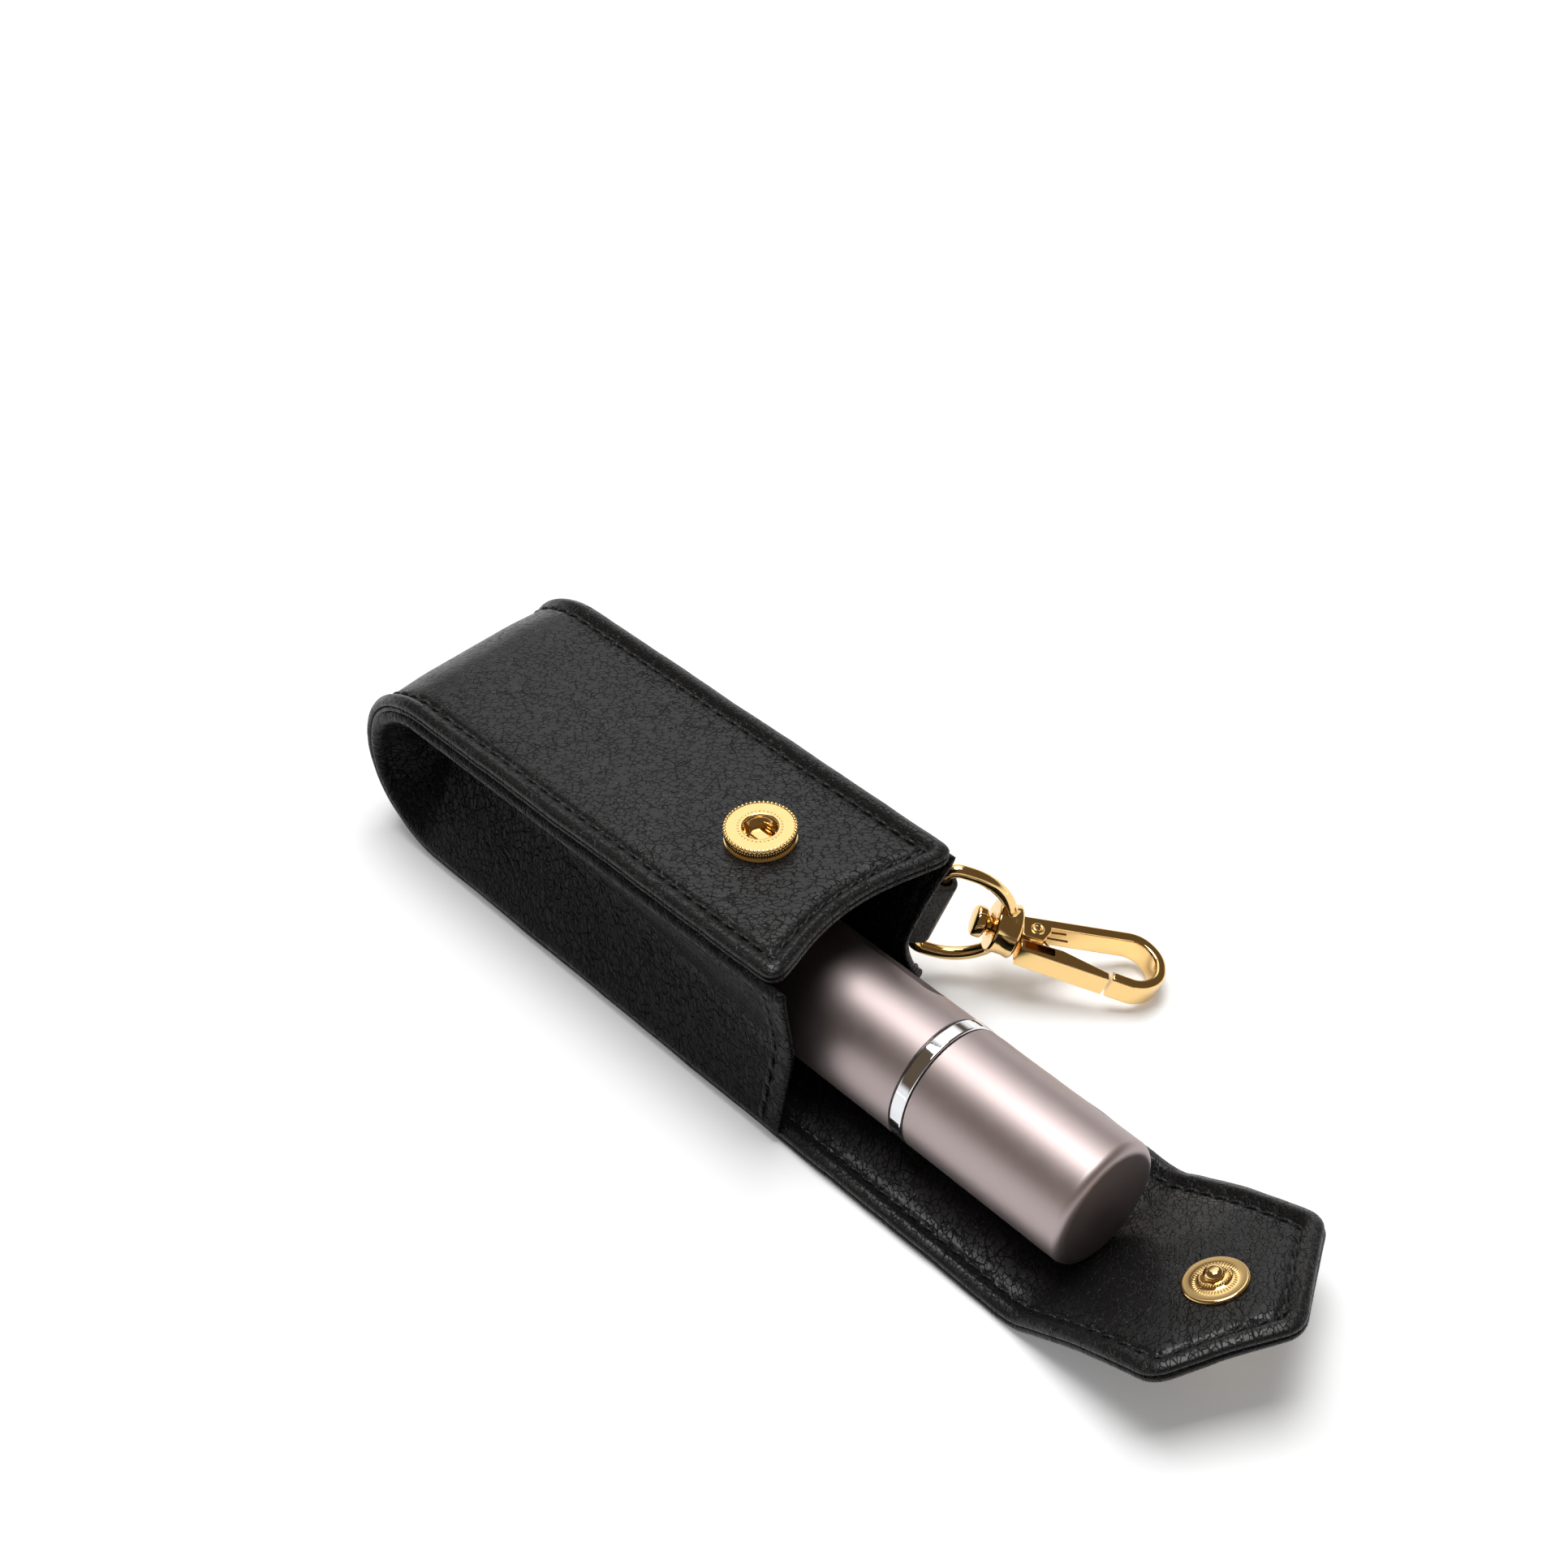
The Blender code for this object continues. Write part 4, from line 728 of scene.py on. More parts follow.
def mixed_colour(tree, share, first, second, clamp=True):
    """Mix two colours by a share and give the result."""
    inputs = {"Factor": share, MIX_FIRST: first, MIX_SECOND: second}
    made = node(tree, "ShaderNodeMix", inputs, data_type="RGBA", clamp_factor=clamp)
    return made.outputs[MIX_RESULT]


def grey(level):
    """Plain grey of one level."""
    return (level, level, level, 1.0)


def group_tree(name, inputs, outputs):
    """Start a shader group with a place, named numbers with their defaults, and named results."""
    tree = bpy.data.node_groups.new(name, "ShaderNodeTree")
    tree.interface.new_socket("Vector", in_out="INPUT", socket_type="NodeSocketVector")
    for label, default in inputs.items():
        socket = tree.interface.new_socket(label, in_out="INPUT", socket_type="NodeSocketFloat")
        socket.default_value = default
    for label in outputs:
        tree.interface.new_socket(label, in_out="OUTPUT", socket_type="NodeSocketFloat")
    return tree, tree.nodes.new("NodeGroupInput"), tree.nodes.new("NodeGroupOutput")


# Cracks of the leather, each as cells per grain and width in cells, and the patches they show in, as patches
# per grain and the levels between which a patch fades in
GRAIN_CRACK, GRAIN_PATCH = (1.0, 0.085), (0.60, 0.38, 0.50)
FINE_CRACK, FINE_PATCH = (2.0, 0.15), (0.20, 0.48, 0.66)
FOLD_CRACK, FOLD_PATCH = (0.26, 0.035), (0.13, 0.50, 0.62)
FINE_SHARE = 0.15
GRAIN_SWAY = 0.45
GRAIN_TURN = radians(134.0)
GRAIN_STRETCH = (1.6, 1.0, 1.0)
COAT_ROUGHNESS = 0.36

# Soft noise of the leather, as cells per grain and detail, and what its hollows do to tone and polish; the
# darker tone in the cracks and hollows is painted shade
NOISE_ROUGHNESS = 0.6
SWAY_NOISE = (1.1, 2.0)
SOFT_NOISE = (0.5, 3.0)
BROAD_NOISE = (0.06, 2.0)
PATCH_DETAIL = 2.0
SOFT_HEIGHT = 0.5
DOMES_PER_GRAIN = 1.5
HOLLOW_SHADE_AND_DULLING = 0.8
SHADE_AND_TONE_SHARES = (0.7, 0.3)
POLISH_SHARES = (-0.10, 0.10)
GLOSS_POWER = 2.0


def leather_grain_group():
    """Fine cracks, pebbles and folds of dyed leather; its Tone darkens the colour in the cracks and hollows as
    painted shade, mixed with a broad random tone.
    """
    inputs = {"Cells": 900.0, "Pebbles": 0.5, "Folds": 1.0}
    tree, start, end = group_tree("leather_grain", inputs, ("Height", "Tone", "Polish", "Gloss"))
    place, size = start.outputs["Vector"], start.outputs["Cells"]

    def scaled(share):
        return math(tree, "MULTIPLY", size, share)

    def noise(scale, detail):
        values = {"Vector": place, "Scale": scaled(scale), "Detail": detail, "Roughness": NOISE_ROUGHNESS}
        return node(tree, "ShaderNodeTexNoise", values)

    def cells(scale, feature):
        values = {"Vector": bent.outputs[0], "Scale": scaled(scale)}
        return node(tree, "ShaderNodeTexVoronoi", values, feature=feature).outputs["Distance"]

    def cracks(scale, width):
        reach = math(tree, "MULTIPLY", cells(scale, "DISTANCE_TO_EDGE"), 1.0 / width, True)
        return math(tree, "SUBTRACT", 1.0, reach)

    def patchy(scale, low, high):
        values = {"Value": noise(scale, PATCH_DETAIL).outputs[0], "From Min": low, "From Max": high}
        return node(tree, "ShaderNodeMapRange", values, clamp=True).outputs["Result"]

    def patches_of_cracks(crack, patch):
        return math(tree, "MULTIPLY", cracks(*crack), patchy(*patch))

    def weighed(smooth_share, broad_share):
        flat = math(tree, "MULTIPLY", smooth, smooth_share)
        return math(tree, "ADD", flat, math(tree, "MULTIPLY", broad, broad_share))

    coloured = noise(*SWAY_NOISE).outputs["Color"]
    sway = node(tree, "ShaderNodeVectorMath", {0: coloured, 1: grey(0.5)[:3]}, operation="SUBTRACT")
    reach = math(tree, "DIVIDE", GRAIN_SWAY, size)
    moved = node(tree, "ShaderNodeVectorMath", {0: sway.outputs[0], "Scale": reach}, operation="SCALE")
    bent = node(tree, "ShaderNodeVectorMath", {0: place, 1: moved.outputs[0]}, operation="ADD")
    lines = patches_of_cracks(GRAIN_CRACK, GRAIN_PATCH)
    fine = patches_of_cracks(FINE_CRACK, FINE_PATCH)
    long_fold = patches_of_cracks(FOLD_CRACK, FOLD_PATCH)
    folds = math(tree, "MULTIPLY", long_fold, start.outputs["Folds"])
    dents = math(tree, "ADD", lines, math(tree, "MULTIPLY", fine, FINE_SHARE))
    depth = math(tree, "ADD", dents, folds)
    domes = math(tree, "MULTIPLY", cells(DOMES_PER_GRAIN, "F1"), start.outputs["Pebbles"])
    hollow = math(tree, "ADD", depth, domes)
    soft = math(tree, "MULTIPLY", noise(*SOFT_NOISE).outputs[0], SOFT_HEIGHT)
    broad = noise(*BROAD_NOISE).outputs[0]
    # Painted shade: the colour grows darker in the cracks, folds and between the pebbles, which also dull the
    # polish; the broad noise adds a random tone.
    smooth = math(tree, "SUBTRACT", 1.0, math(tree, "MULTIPLY", hollow, HOLLOW_SHADE_AND_DULLING, True))
    tone = weighed(*SHADE_AND_TONE_SHARES)
    polish = weighed(*POLISH_SHARES)
    tree.links.new(math(tree, "SUBTRACT", soft, hollow), end.inputs["Height"])
    tree.links.new(tone, end.inputs["Tone"])
    tree.links.new(polish, end.inputs["Polish"])
    tree.links.new(math(tree, "POWER", smooth, GLOSS_POWER), end.inputs["Gloss"])
    return tree


# Rubbing of smooth surfaces: its fine noise, and its broad noise as a share of the fineness
RUB_DETAIL = 5.0
RUB_ROUGHNESS = 0.65
BROAD_RUB_SHARE = 0.15
BROAD_RUB_DETAIL = 2.0


def metal_wear_group():
    """Fine rubbing and small dents of plated metal."""
    inputs = {"Fineness": 900.0, "Roughness": 0.15, "Spread": 0.06}
    tree, start, end = group_tree("metal_wear", inputs, ("Roughness", "Height", "Tone"))
    place, fineness = start.outputs["Vector"], start.outputs["Fineness"]
    inputs = {"Vector": place, "Scale": fineness, "Detail": RUB_DETAIL, "Roughness": RUB_ROUGHNESS}
    rub = node(tree, "ShaderNodeTexNoise", inputs)
    coarse = math(tree, "MULTIPLY", fineness, BROAD_RUB_SHARE)
    broad = node(tree, "ShaderNodeTexNoise", {"Vector": place, "Scale": coarse, "Detail": BROAD_RUB_DETAIL})
    level = math(tree, "SUBTRACT", math(tree, "ADD", rub.outputs[0], broad.outputs[0]), 1.0)
    change = math(tree, "MULTIPLY", level, start.outputs["Spread"])
    rough = math(tree, "ADD", start.outputs["Roughness"], change)
    tree.links.new(rough, end.inputs["Roughness"])
    tree.links.new(rub.outputs[0], end.inputs["Height"])
    tree.links.new(broad.outputs[0], end.inputs["Tone"])
    return tree


GROUPS = {"leather_grain": leather_grain_group(), "metal_wear": metal_wear_group()}


def placed_group(tree, name, inputs):
    """Place a shared group in a material."""
    return node(tree, "ShaderNodeGroup", inputs, node_tree=GROUPS[name])


def new_material(name, constants):
    """Start a material and set what is the same all over it."""
    finish = bpy.data.materials.new(name)
    finish.use_nodes = True
    shader = finish.node_tree.nodes["Principled BSDF"]
    for key, value in constants.items():
        shader.inputs[key].default_value = value
    return finish, finish.node_tree, shader


def tinted(tree, tone, colour, low, high):
    """Vary a colour from a darker to a lighter shade by a tone."""
    dark = tuple(part * low for part in colour[:3]) + (1.0,)
    light = tuple(min(part * high, 1.0) for part in colour[:3]) + (1.0,)
    return mixed_colour(tree, tone, dark, light)


def roughened(tree, shader, height, depth, strength):
    """Let a height raise and lower a shader's surface."""
    bump = node(tree, "ShaderNodeBump", {"Strength": strength, "Distance": depth, "Height": height})
    tree.links.new(bump.outputs[0], shader.inputs["Normal"])


Leather = namedtuple("Leather", "finish name colour pebble pebbles folds depth rough specular shine charted")
LEATHERS = (
    Leather("panel", "grained_leather", "colour", 1.0, 0.0, 0.9, 0.00013, 0.38, 0.26, 0.2, True),
    Leather("flap", "flap_leather", "colour", 0.9, 0.35, 1.0, 0.00013, 0.34, 0.23, 0.1, True),
    Leather("gusset", "gusset_leather", "colour", 1.4, 0.35, 0.9, 0.00022, 0.36, 0.10, 0.0, True),
    Leather("edge", "painted_edge", "edge_colour", 3.0, 0.0, 0.0, 0.00002, 0.40, 0.26, 0.2, True),
    Leather("tab", "tab_leather", "colour", 1.0, 0.2, 0.3, 0.00004, 0.44, 0.28, 0.1, False),
)
Metal = namedtuple("Metal", "finish name rough spread fineness depth")
METALS = (
    Metal("gold", "polished_gold", 0.09, 0.05, 700.0, 0.000004),
    Metal("steel", "spring_steel", 0.24, 0.08, 900.0, 0.000004),
    Metal("mauve", "anodised_mauve", 0.47, 0.05, 2600.0, 0.000003),
    Metal("chrome", "polished_chrome", 0.06, 0.03, 800.0, 0.000004),
)
Plastic = namedtuple("Plastic", "finish name colour rough clear")
PLASTICS = (
    Plastic("clear", "clear_plastic", (0.86, 0.85, 0.83), 0.08, 0.85),
    Plastic("white", "white_plastic", (0.72, 0.72, 0.71), 0.42, 0.0),
)
LEATHER_TINT = (0.7, 1.3)
METAL_SHADE = 0.04
METAL_BUMP = 0.4
PLASTIC_IOR = 1.49
PLASTIC_FINENESS = 600.0
PLASTIC_SPREAD = 0.08
PLASTIC_SHADE = 0.05
THREAD_SPECULAR = 0.35
THREAD_TINT = (0.7, 1.5)
THREAD_ROUGH = (0.15, 0.45)
TWIST_SCALE = 900.0
TWIST_SWAY = 1.5
TWIST_DEPTH = 0.00005
TWIST_BUMP = 0.6
FINISHES = {}


def leather_material(kind, leather):
    """Grained leather with a dressed shine on its high spots and painted shade in its cracks, on a flat map or
    on the piece's own place.
    """
    constants = {"Specular IOR Level": kind.specular, "Coat Roughness": COAT_ROUGHNESS}
    finish, tree, shader = new_material(kind.name, constants)
    if kind.charted:
        chart = node(tree, "ShaderNodeUVMap", uv_map="flat").outputs["UV"]
    else:
        chart = node(tree, "ShaderNodeTexCoord").outputs["Object"]
    laid = {"Vector": chart, "Rotation": (0.0, 0.0, GRAIN_TURN), "Scale": GRAIN_STRETCH}
    place = node(tree, "ShaderNodeMapping", laid, vector_type="TEXTURE").outputs[0]
    cells = 1.0 / (leather.grain * kind.pebble)
    inputs = {"Vector": place, "Cells": cells, "Pebbles": kind.pebbles, "Folds": kind.folds}
    skin = placed_group(tree, "leather_grain", inputs)
    colour = getattr(leather, kind.colour)
    # The grain's Tone paints shade into the colour's cracks and hollows, with a broad random tone.
    tree.links.new(tinted(tree, skin.outputs["Tone"], colour, *LEATHER_TINT), shader.inputs["Base Color"])
    tree.links.new(math(tree, "ADD", skin.outputs["Polish"], kind.rough), shader.inputs["Roughness"])
    tree.links.new(math(tree, "MULTIPLY", skin.outputs["Gloss"], kind.shine), shader.inputs["Coat Weight"])
    roughened(tree, shader, skin.outputs["Height"], kind.depth, 1.0)
    return finish


def worn_surface(tree, shader, colour, fineness, rough, spread, shade):
    """Vary a smooth surface's colour and roughness by slight rubbing, and give the rubbing's node."""
    place = node(tree, "ShaderNodeTexCoord").outputs["Object"]
    inputs = {"Vector": place, "Fineness": fineness, "Roughness": rough, "Spread": spread}
    wear = placed_group(tree, "metal_wear", inputs)
    shaded = tinted(tree, wear.outputs["Tone"], colour, 1 - shade, 1 + shade)
    tree.links.new(shaded, shader.inputs["Base Color"])
    tree.links.new(wear.outputs["Roughness"], shader.inputs["Roughness"])
    return wear


def metal_material(kind, colour):
    """Plated or anodised metal."""
    finish, tree, shader = new_material(kind.name, {"Metallic": 1.0})
    wear = worn_surface(tree, shader, colour, kind.fineness, kind.rough, kind.spread, METAL_SHADE)
    roughened(tree, shader, wear.outputs["Height"], kind.depth, METAL_BUMP)
    return finish


def moulded_material(kind):
    """Moulded plastic, plain or clear."""
    finish, tree, shader = new_material(kind.name, {"Transmission Weight": kind.clear, "IOR": PLASTIC_IOR})
    worn_surface(tree, shader, kind.colour, PLASTIC_FINENESS, kind.rough, PLASTIC_SPREAD, PLASTIC_SHADE)
    return finish


def thread_material(colour):
    """Twisted waxed thread."""
    finish, tree, shader = new_material("waxed_thread", {"Specular IOR Level": THREAD_SPECULAR})
    place = node(tree, "ShaderNodeTexCoord").outputs["Object"]
    inputs = {"Vector": place, "Scale": TWIST_SCALE, "Distortion": TWIST_SWAY}
    twist = node(tree, "ShaderNodeTexWave", inputs, bands_direction="DIAGONAL").outputs["Fac"]
    tree.links.new(tinted(tree, twist, colour, *THREAD_TINT), shader.inputs["Base Color"])
    rough = math(tree, "ADD", math(tree, "MULTIPLY", twist, THREAD_ROUGH[0]), THREAD_ROUGH[1])
    tree.links.new(rough, shader.inputs["Roughness"])
    roughened(tree, shader, twist, TWIST_DEPTH, TWIST_BUMP)
    return finish


def make_finishes():
    """Make every finish of the object once."""
    leather = bpy.context.scene.case_leather
    metal = bpy.context.scene.case_metal
    for kind in LEATHERS:
        FINISHES[kind.finish] = leather_material(kind, leather)
    FINISHES["thread"] = thread_material(leather.thread_colour)
    for kind in METALS:
        FINISHES[kind.finish] = metal_material(kind, getattr(metal, kind.finish))
    for kind in PLASTICS:
        FINISHES[kind.finish] = moulded_material(kind)


def geometry_tree(name, sockets):
    """Start a geometry tree with named inputs."""
    tree = bpy.data.node_groups.new(name, "GeometryNodeTree")
    tree.interface.new_socket("Geometry", in_out="INPUT", socket_type="NodeSocketGeometry")
    for label, kind in sockets:
        tree.interface.new_socket(label, in_out="INPUT", socket_type=kind)
    tree.interface.new_socket("Geometry", in_out="OUTPUT", socket_type="NodeSocketGeometry")
    return tree, tree.nodes.new("NodeGroupInput").outputs, tree.nodes.new("NodeGroupOutput")


def finish_tree(tree, instances, material, end):
    """End a tree in plain smooth faces with their finish."""
    real = node(tree, "GeometryNodeRealizeInstances", {0: instances})
    smooth = node(tree, "GeometryNodeSetShadeSmooth", {0: real.outputs[0]})
    dyed = node(tree, "GeometryNodeSetMaterial", {0: smooth.outputs[0], "Material": material})
    tree.links.new(dyed.outputs[0], end.inputs[0])


# A stitch's ends and its arch, counted up from the leather in thread widths
THREAD_SUNK = -0.55
THREAD_ARCH = 0.75
STITCH_STEPS = 6
STRAND_SIDES = 7


def stitch_tree():
    """Stitches along a sewing line, each lying on the face that the line carries."""
    tree, start, end = geometry_tree("sewn_stitches", [
        ("Pitch", "NodeSocketFloat"), ("Length", "NodeSocketFloat"), ("Thread", "NodeSocketFloat"),
        ("Slant", "NodeSocketFloat"), ("Material", "NodeSocketMaterial"),
    ])
    line = node(tree, "GeometryNodeMeshToCurve", {0: start["Geometry"]})
    pitched = {0: line.outputs[0], "Length": start["Pitch"]}
    even = node(tree, "GeometryNodeResampleCurve", pitched, mode="LENGTH")
    ahead = node(tree, "GeometryNodeInputTangent")
    face = node(tree, "GeometryNodeInputNamedAttribute", {"Name": "face_out"}, data_type="FLOAT_VECTOR")
    along = node(tree, "FunctionNodeAlignRotationToVector", {"Vector": ahead.outputs[0]}, axis="X")
    turned = node(tree, "FunctionNodeAlignRotationToVector",
                  {"Rotation": along.outputs[0], "Vector": face.outputs[0]}, axis="Z", pivot_axis="X")
    lean = node(tree, "FunctionNodeAxisAngleToRotation", {"Axis": (0.0, 0.0, 1.0), "Angle": start["Slant"]})
    slanted = node(tree, "FunctionNodeRotateRotation",
                   {"Rotation": turned.outputs[0], "Rotate By": lean.outputs[0]}, rotation_space="LOCAL")
    half = math(tree, "MULTIPLY", start["Length"], 0.5)
    back = math(tree, "MULTIPLY", half, -1.0)
    sunk = math(tree, "MULTIPLY", start["Thread"], THREAD_SUNK)
    lift = math(tree, "MULTIPLY", start["Thread"], THREAD_ARCH)
    first = node(tree, "ShaderNodeCombineXYZ", {"X": back, "Z": sunk})
    top = node(tree, "ShaderNodeCombineXYZ", {"Z": lift})
    last = node(tree, "ShaderNodeCombineXYZ", {"X": half, "Z": sunk})
    ends = {"Start": first.outputs[0], "Middle": top.outputs[0], "End": last.outputs[0]}
    arch = node(tree, "GeometryNodeCurveQuadraticBezier", {"Resolution": STITCH_STEPS, **ends})
    radius = math(tree, "MULTIPLY", start["Thread"], 0.5)
    strand = node(tree, "GeometryNodeCurvePrimitiveCircle", {"Resolution": STRAND_SIDES, "Radius": radius})
    stitch = node(tree, "GeometryNodeCurveToMesh",
                  {"Curve": arch.outputs[0], "Profile Curve": strand.outputs[0], "Fill Caps": True})
    laid = node(tree, "GeometryNodeInstanceOnPoints",
                {"Points": even.outputs[0], "Instance": stitch.outputs[0], "Rotation": slanted.outputs[0]})
    finish_tree(tree, laid.outputs[0], start["Material"], end)
    return tree


def ring_tree():
    """Like marks set evenly round a ring, each lying along the ring."""
    tree, start, end = geometry_tree("ring_of_marks", [
        ("Count", "NodeSocketInt"), ("Radius", "NodeSocketFloat"), ("Mark", "NodeSocketVector"),
        ("Material", "NodeSocketMaterial"),
    ])
    size = {"Resolution": start["Count"], "Radius": start["Radius"]}
    ring = node(tree, "GeometryNodeCurvePrimitiveCircle", size)
    ahead = node(tree, "GeometryNodeInputTangent")
    along = node(tree, "FunctionNodeAlignRotationToVector", {"Vector": ahead.outputs[0]}, axis="X")
    mark = node(tree, "GeometryNodeMeshIcoSphere", {"Radius": 1.0, "Subdivisions": 2})
    laid = node(tree, "GeometryNodeInstanceOnPoints",
                {"Points": ring.outputs[0], "Instance": mark.outputs[0], "Rotation": along.outputs[0],
                 "Scale": start["Mark"]})
    finish_tree(tree, laid.outputs[0], start["Material"], end)
    return tree


TREES = {"stitches": stitch_tree(), "ring": ring_tree()}


def grown(mesh, tree_name, values):
    """Grow a tree from a mesh with its named inputs and give the plain result."""
    holder = held(tree_name, mesh)
    step = holder.modifiers.new(tree_name, "NODES")
    step.node_group = TREES[tree_name]
    for item in step.node_group.interface.items_tree:
        if item.in_out == "INPUT" and item.name in values:
            step[item.identifier] = values[item.name]
    return baked(holder)


def sewing(points, faces_out):
    """Stitches along one line of points."""
    leather = bpy.context.scene.case_leather
    mesh = bpy.data.meshes.new("sewing_line")
    mesh.from_pydata(points.tolist(), [(index, index + 1) for index in range(len(points) - 1)], [])
    carried = mesh.attributes.new("face_out", "FLOAT_VECTOR", "POINT")
    carried.data.foreach_set("vector", faces_out.astype(np.float32).ravel())
    return grown(mesh, "stitches", {
        "Pitch": leather.stitch_pitch, "Length": leather.stitch_length, "Thread": leather.thread,
        "Slant": leather.slant, "Material": FINISHES["thread"],
    })


def thread_piece(name, lines):
    """Add the stitches of several sewing lines as one piece."""
    mesh = joined(name, [sewing(*line) for line in lines])
    return add_piece(name, mesh, [FINISHES["thread"]])


def ring_of_marks(count, radius, height, mark):
    """Gold marks of one size round a ring at one height."""
    values = {"Count": count, "Radius": radius, "Mark": mark, "Material": FINISHES["gold"]}
    made = grown(bpy.data.meshes.new("ring"), "ring", values)
    made.transform(Matrix.Translation((0.0, 0.0, height)))
    return made


class CASE_OT_leather(Operator):
    """Make the strip of the front panel, closed end, back panel and flap."""

    bl_idname = "case.leather"
    bl_label = "Leather strip"

    def execute(self, context):
        leather = context.scene.case_leather
        outer, inner, flat, edge = strip_faces(leather)
        faces = (outer, inner, flat, edge < PAINTED)
        middle = int(np.argmin(np.abs(flat[:, edge.shape[1] // 2, 0] - STRIP.split)))
        finishes = [FINISHES["panel"], FINISHES["edge"], FINISHES["flap"]]
        mesh = leather_mesh("case_wrap", *[grid[:middle + 1] for grid in faces], (middle,))
        wrap = add_piece("case_wrap", mesh, finishes)
        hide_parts("outer_wrap", "wrap_lining", "bridge_outer", "bridge_lining")
        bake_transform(wrap)
        mesh = leather_mesh("flap_tongue_leather", *[grid[middle:] for grid in faces], (0,))
        tongue = add_piece("flap_tongue_leather", mesh, finishes)
        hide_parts("tongue_outer", "tongue_lining")
        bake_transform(tongue)
        return {"FINISHED"}


SEWING_STEP = 0.0004
MOUTH_SEWING_POINTS = 90
THREAD_PROUD = 0.1
GUSSET_THREAD_PROUD = 0.2


def sewn_rise(leather, length):
    """Rise of the thread over the middle of the strip, on its line of sewing."""
    inset = np.full_like(length, leather.stitch_inset)
    return face_rise(leather, inset, np.ones_like(length), length) + leather.thread * THREAD_PROUD


def edge_line(leather, first, last, side, inner):
    """Sewing line along one long edge, between two distances along the strip."""
    rows = half_outline()
    lengths = edge_length(rows)
    fine = np.arange(0.0, lengths[-1], SEWING_STEP)
    along, half, angle = [np.interp(fine, lengths, column) for column in rows.T]
    along = along - leather.stitch_inset * np.cos(angle)
    across = side * (half - leather.stitch_inset * np.sin(angle))
    kept = (along >= first) & (along <= last)
    rise = sewn_rise(leather, fine[kept])
    points, out = STRIP.place(along[kept], across[kept], -rise if inner else rise)
    return points, (-out if inner else out)


def mouth_line(leather):
    """Sewing line along the front panel's mouth edge."""
    reach = HALF_WIDTH - leather.stitch_inset
    across = np.linspace(-reach, reach, MOUTH_SEWING_POINTS)
    fade = 1 - leather.stitch_inset / NOTCH_FADE
    along = leather.stitch_inset + notch_reach(across) * fade
    return STRIP.place(along, across, sewn_rise(leather, across))


class CASE_OT_sewing(Operator):
    """Sew the edges of the strip."""

    bl_idname = "case.sewing"
    bl_label = "Strip sewing"

    def execute(self, context):
        leather = context.scene.case_leather
        start = leather.stitch_inset
        on_case = [mouth_line(leather)]
        on_flap = []
        for side in (-1, 1):
            on_case.append(edge_line(leather, start, STRIP.split, side, False))
            on_case.append(edge_line(leather, STRIP.mouth_below, STRIP.split, side, True))
            on_flap.append(edge_line(leather, STRIP.split, STRIP.end, side, False))
            on_flap.append(edge_line(leather, STRIP.split, STRIP.end, side, True))
        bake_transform(thread_piece("case_sewing", on_case))
        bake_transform(thread_piece("flap_sewing", on_flap))
        return {"FINISHED"}


# Side walls: thickness, how far they are drawn in beside the atomizer and past it, and their folds
GUSSET_LEATHER = 0.00105
GUSSET_SUNK = 0.00025
GUSSET_CLEAR = 0.00012
GUSSET_INSET = 0.0054
GUSSET_EMPTY_INSET = 0.0092
GUSSET_EMPTY_SPAN = (0.001, 0.010)
GUSSET_DEEP_SPAN = (0.0, 0.017)
GUSSET_CREST = 0.50
GUSSET_POLE_BACK = 0.005
GUSSET_POLE_X = TURN_CENTRE_X - GUSSET_POLE_BACK
GUSSET_BEAD = 0.00030
GUSSET_BEAD_AT = 0.0009
GUSSET_BEAD_WIDTH = 0.0008
GUSSET_FLANGE = 0.13
GUSSET_ROUND = 0.12
GUSSET_PITCH = 0.0012
GUSSET_TURN_STEPS = 40
GUSSET_ROWS = np.array([0.0, 0.06, 0.16, 0.30, 0.46, 0.70, 1.0, 1.4, 1.8, 2.2, 2.6, 3.0]) * 0.001
GUSSET_SHARES = np.array([
    0.0, 0.004, 0.010, 0.020, 0.034, 0.052, 0.075, 0.10, 0.13, 0.17, 0.22, 0.29, 0.38, 0.47, 0.56, 0.65, 0.74,
    0.82, 0.88, 0.93, 0.97, 1.0,
])
GUSSET_FLARE = 0.012
HEM_SHARES = (0.5, 0.4)
HEM_WIDTH = 0.0006
HEM_SPAN = (0.001, 0.003)
HEM_SEWN_FROM = 0.0022
PUCKER = 0.00016
PUCKER_PITCH = 0.0052
PUCKER_SWAY = 3.0
PUCKER_SWAY_RATE = 400.0
PUCKER_AT = 0.0032
PUCKER_WIDTH = 0.0022
PUCKER_SPAN = (0.003, 0.008)
GussetMouth = namedtuple("GussetMouth", "name side share low high bow")
GUSSET_MOUTHS = (
    GussetMouth("left", -1, 0.32, 0.0008, 0.0022, 1.0),
    GussetMouth("right", 1, 0.95, -0.0055, 0.0, 0.7),
)
GussetGrid = namedtuple("GussetGrid", "outer inner flat painted mouth reach normal")


def gusset_outline():
    """Side view of a gusset's edge from the back panel's mouth round to the front panel's."""
    depth = WALL - GUSSET_SUNK
    radius = TURN_RADIUS - depth
    hem = MOUTH_X - GUSSET_ROWS
    straight = np.concatenate([hem, spaced(hem[-1], TURN_CENTRE_X, GUSSET_PITCH)[1:]])
    crest = [depth + GUSSET_CREST * (front_height(x, depth) - depth) for x in straight]
    rows = [(x, depth, x, z) for x, z in zip(straight, crest)]
    for step in range(GUSSET_TURN_STEPS + 1):
        turn = -pi / 2 - pi * step / GUSSET_TURN_STEPS
        edge = (TURN_CENTRE_X + radius * cos(turn), TURN_RADIUS + radius * sin(turn))
        rows.append((*edge, GUSSET_POLE_X, crest[-1]))
    for x, z in zip(straight[::-1], crest[::-1]):
        rows.append((x, front_height(x, depth), x, z))
    return np.array(rows)


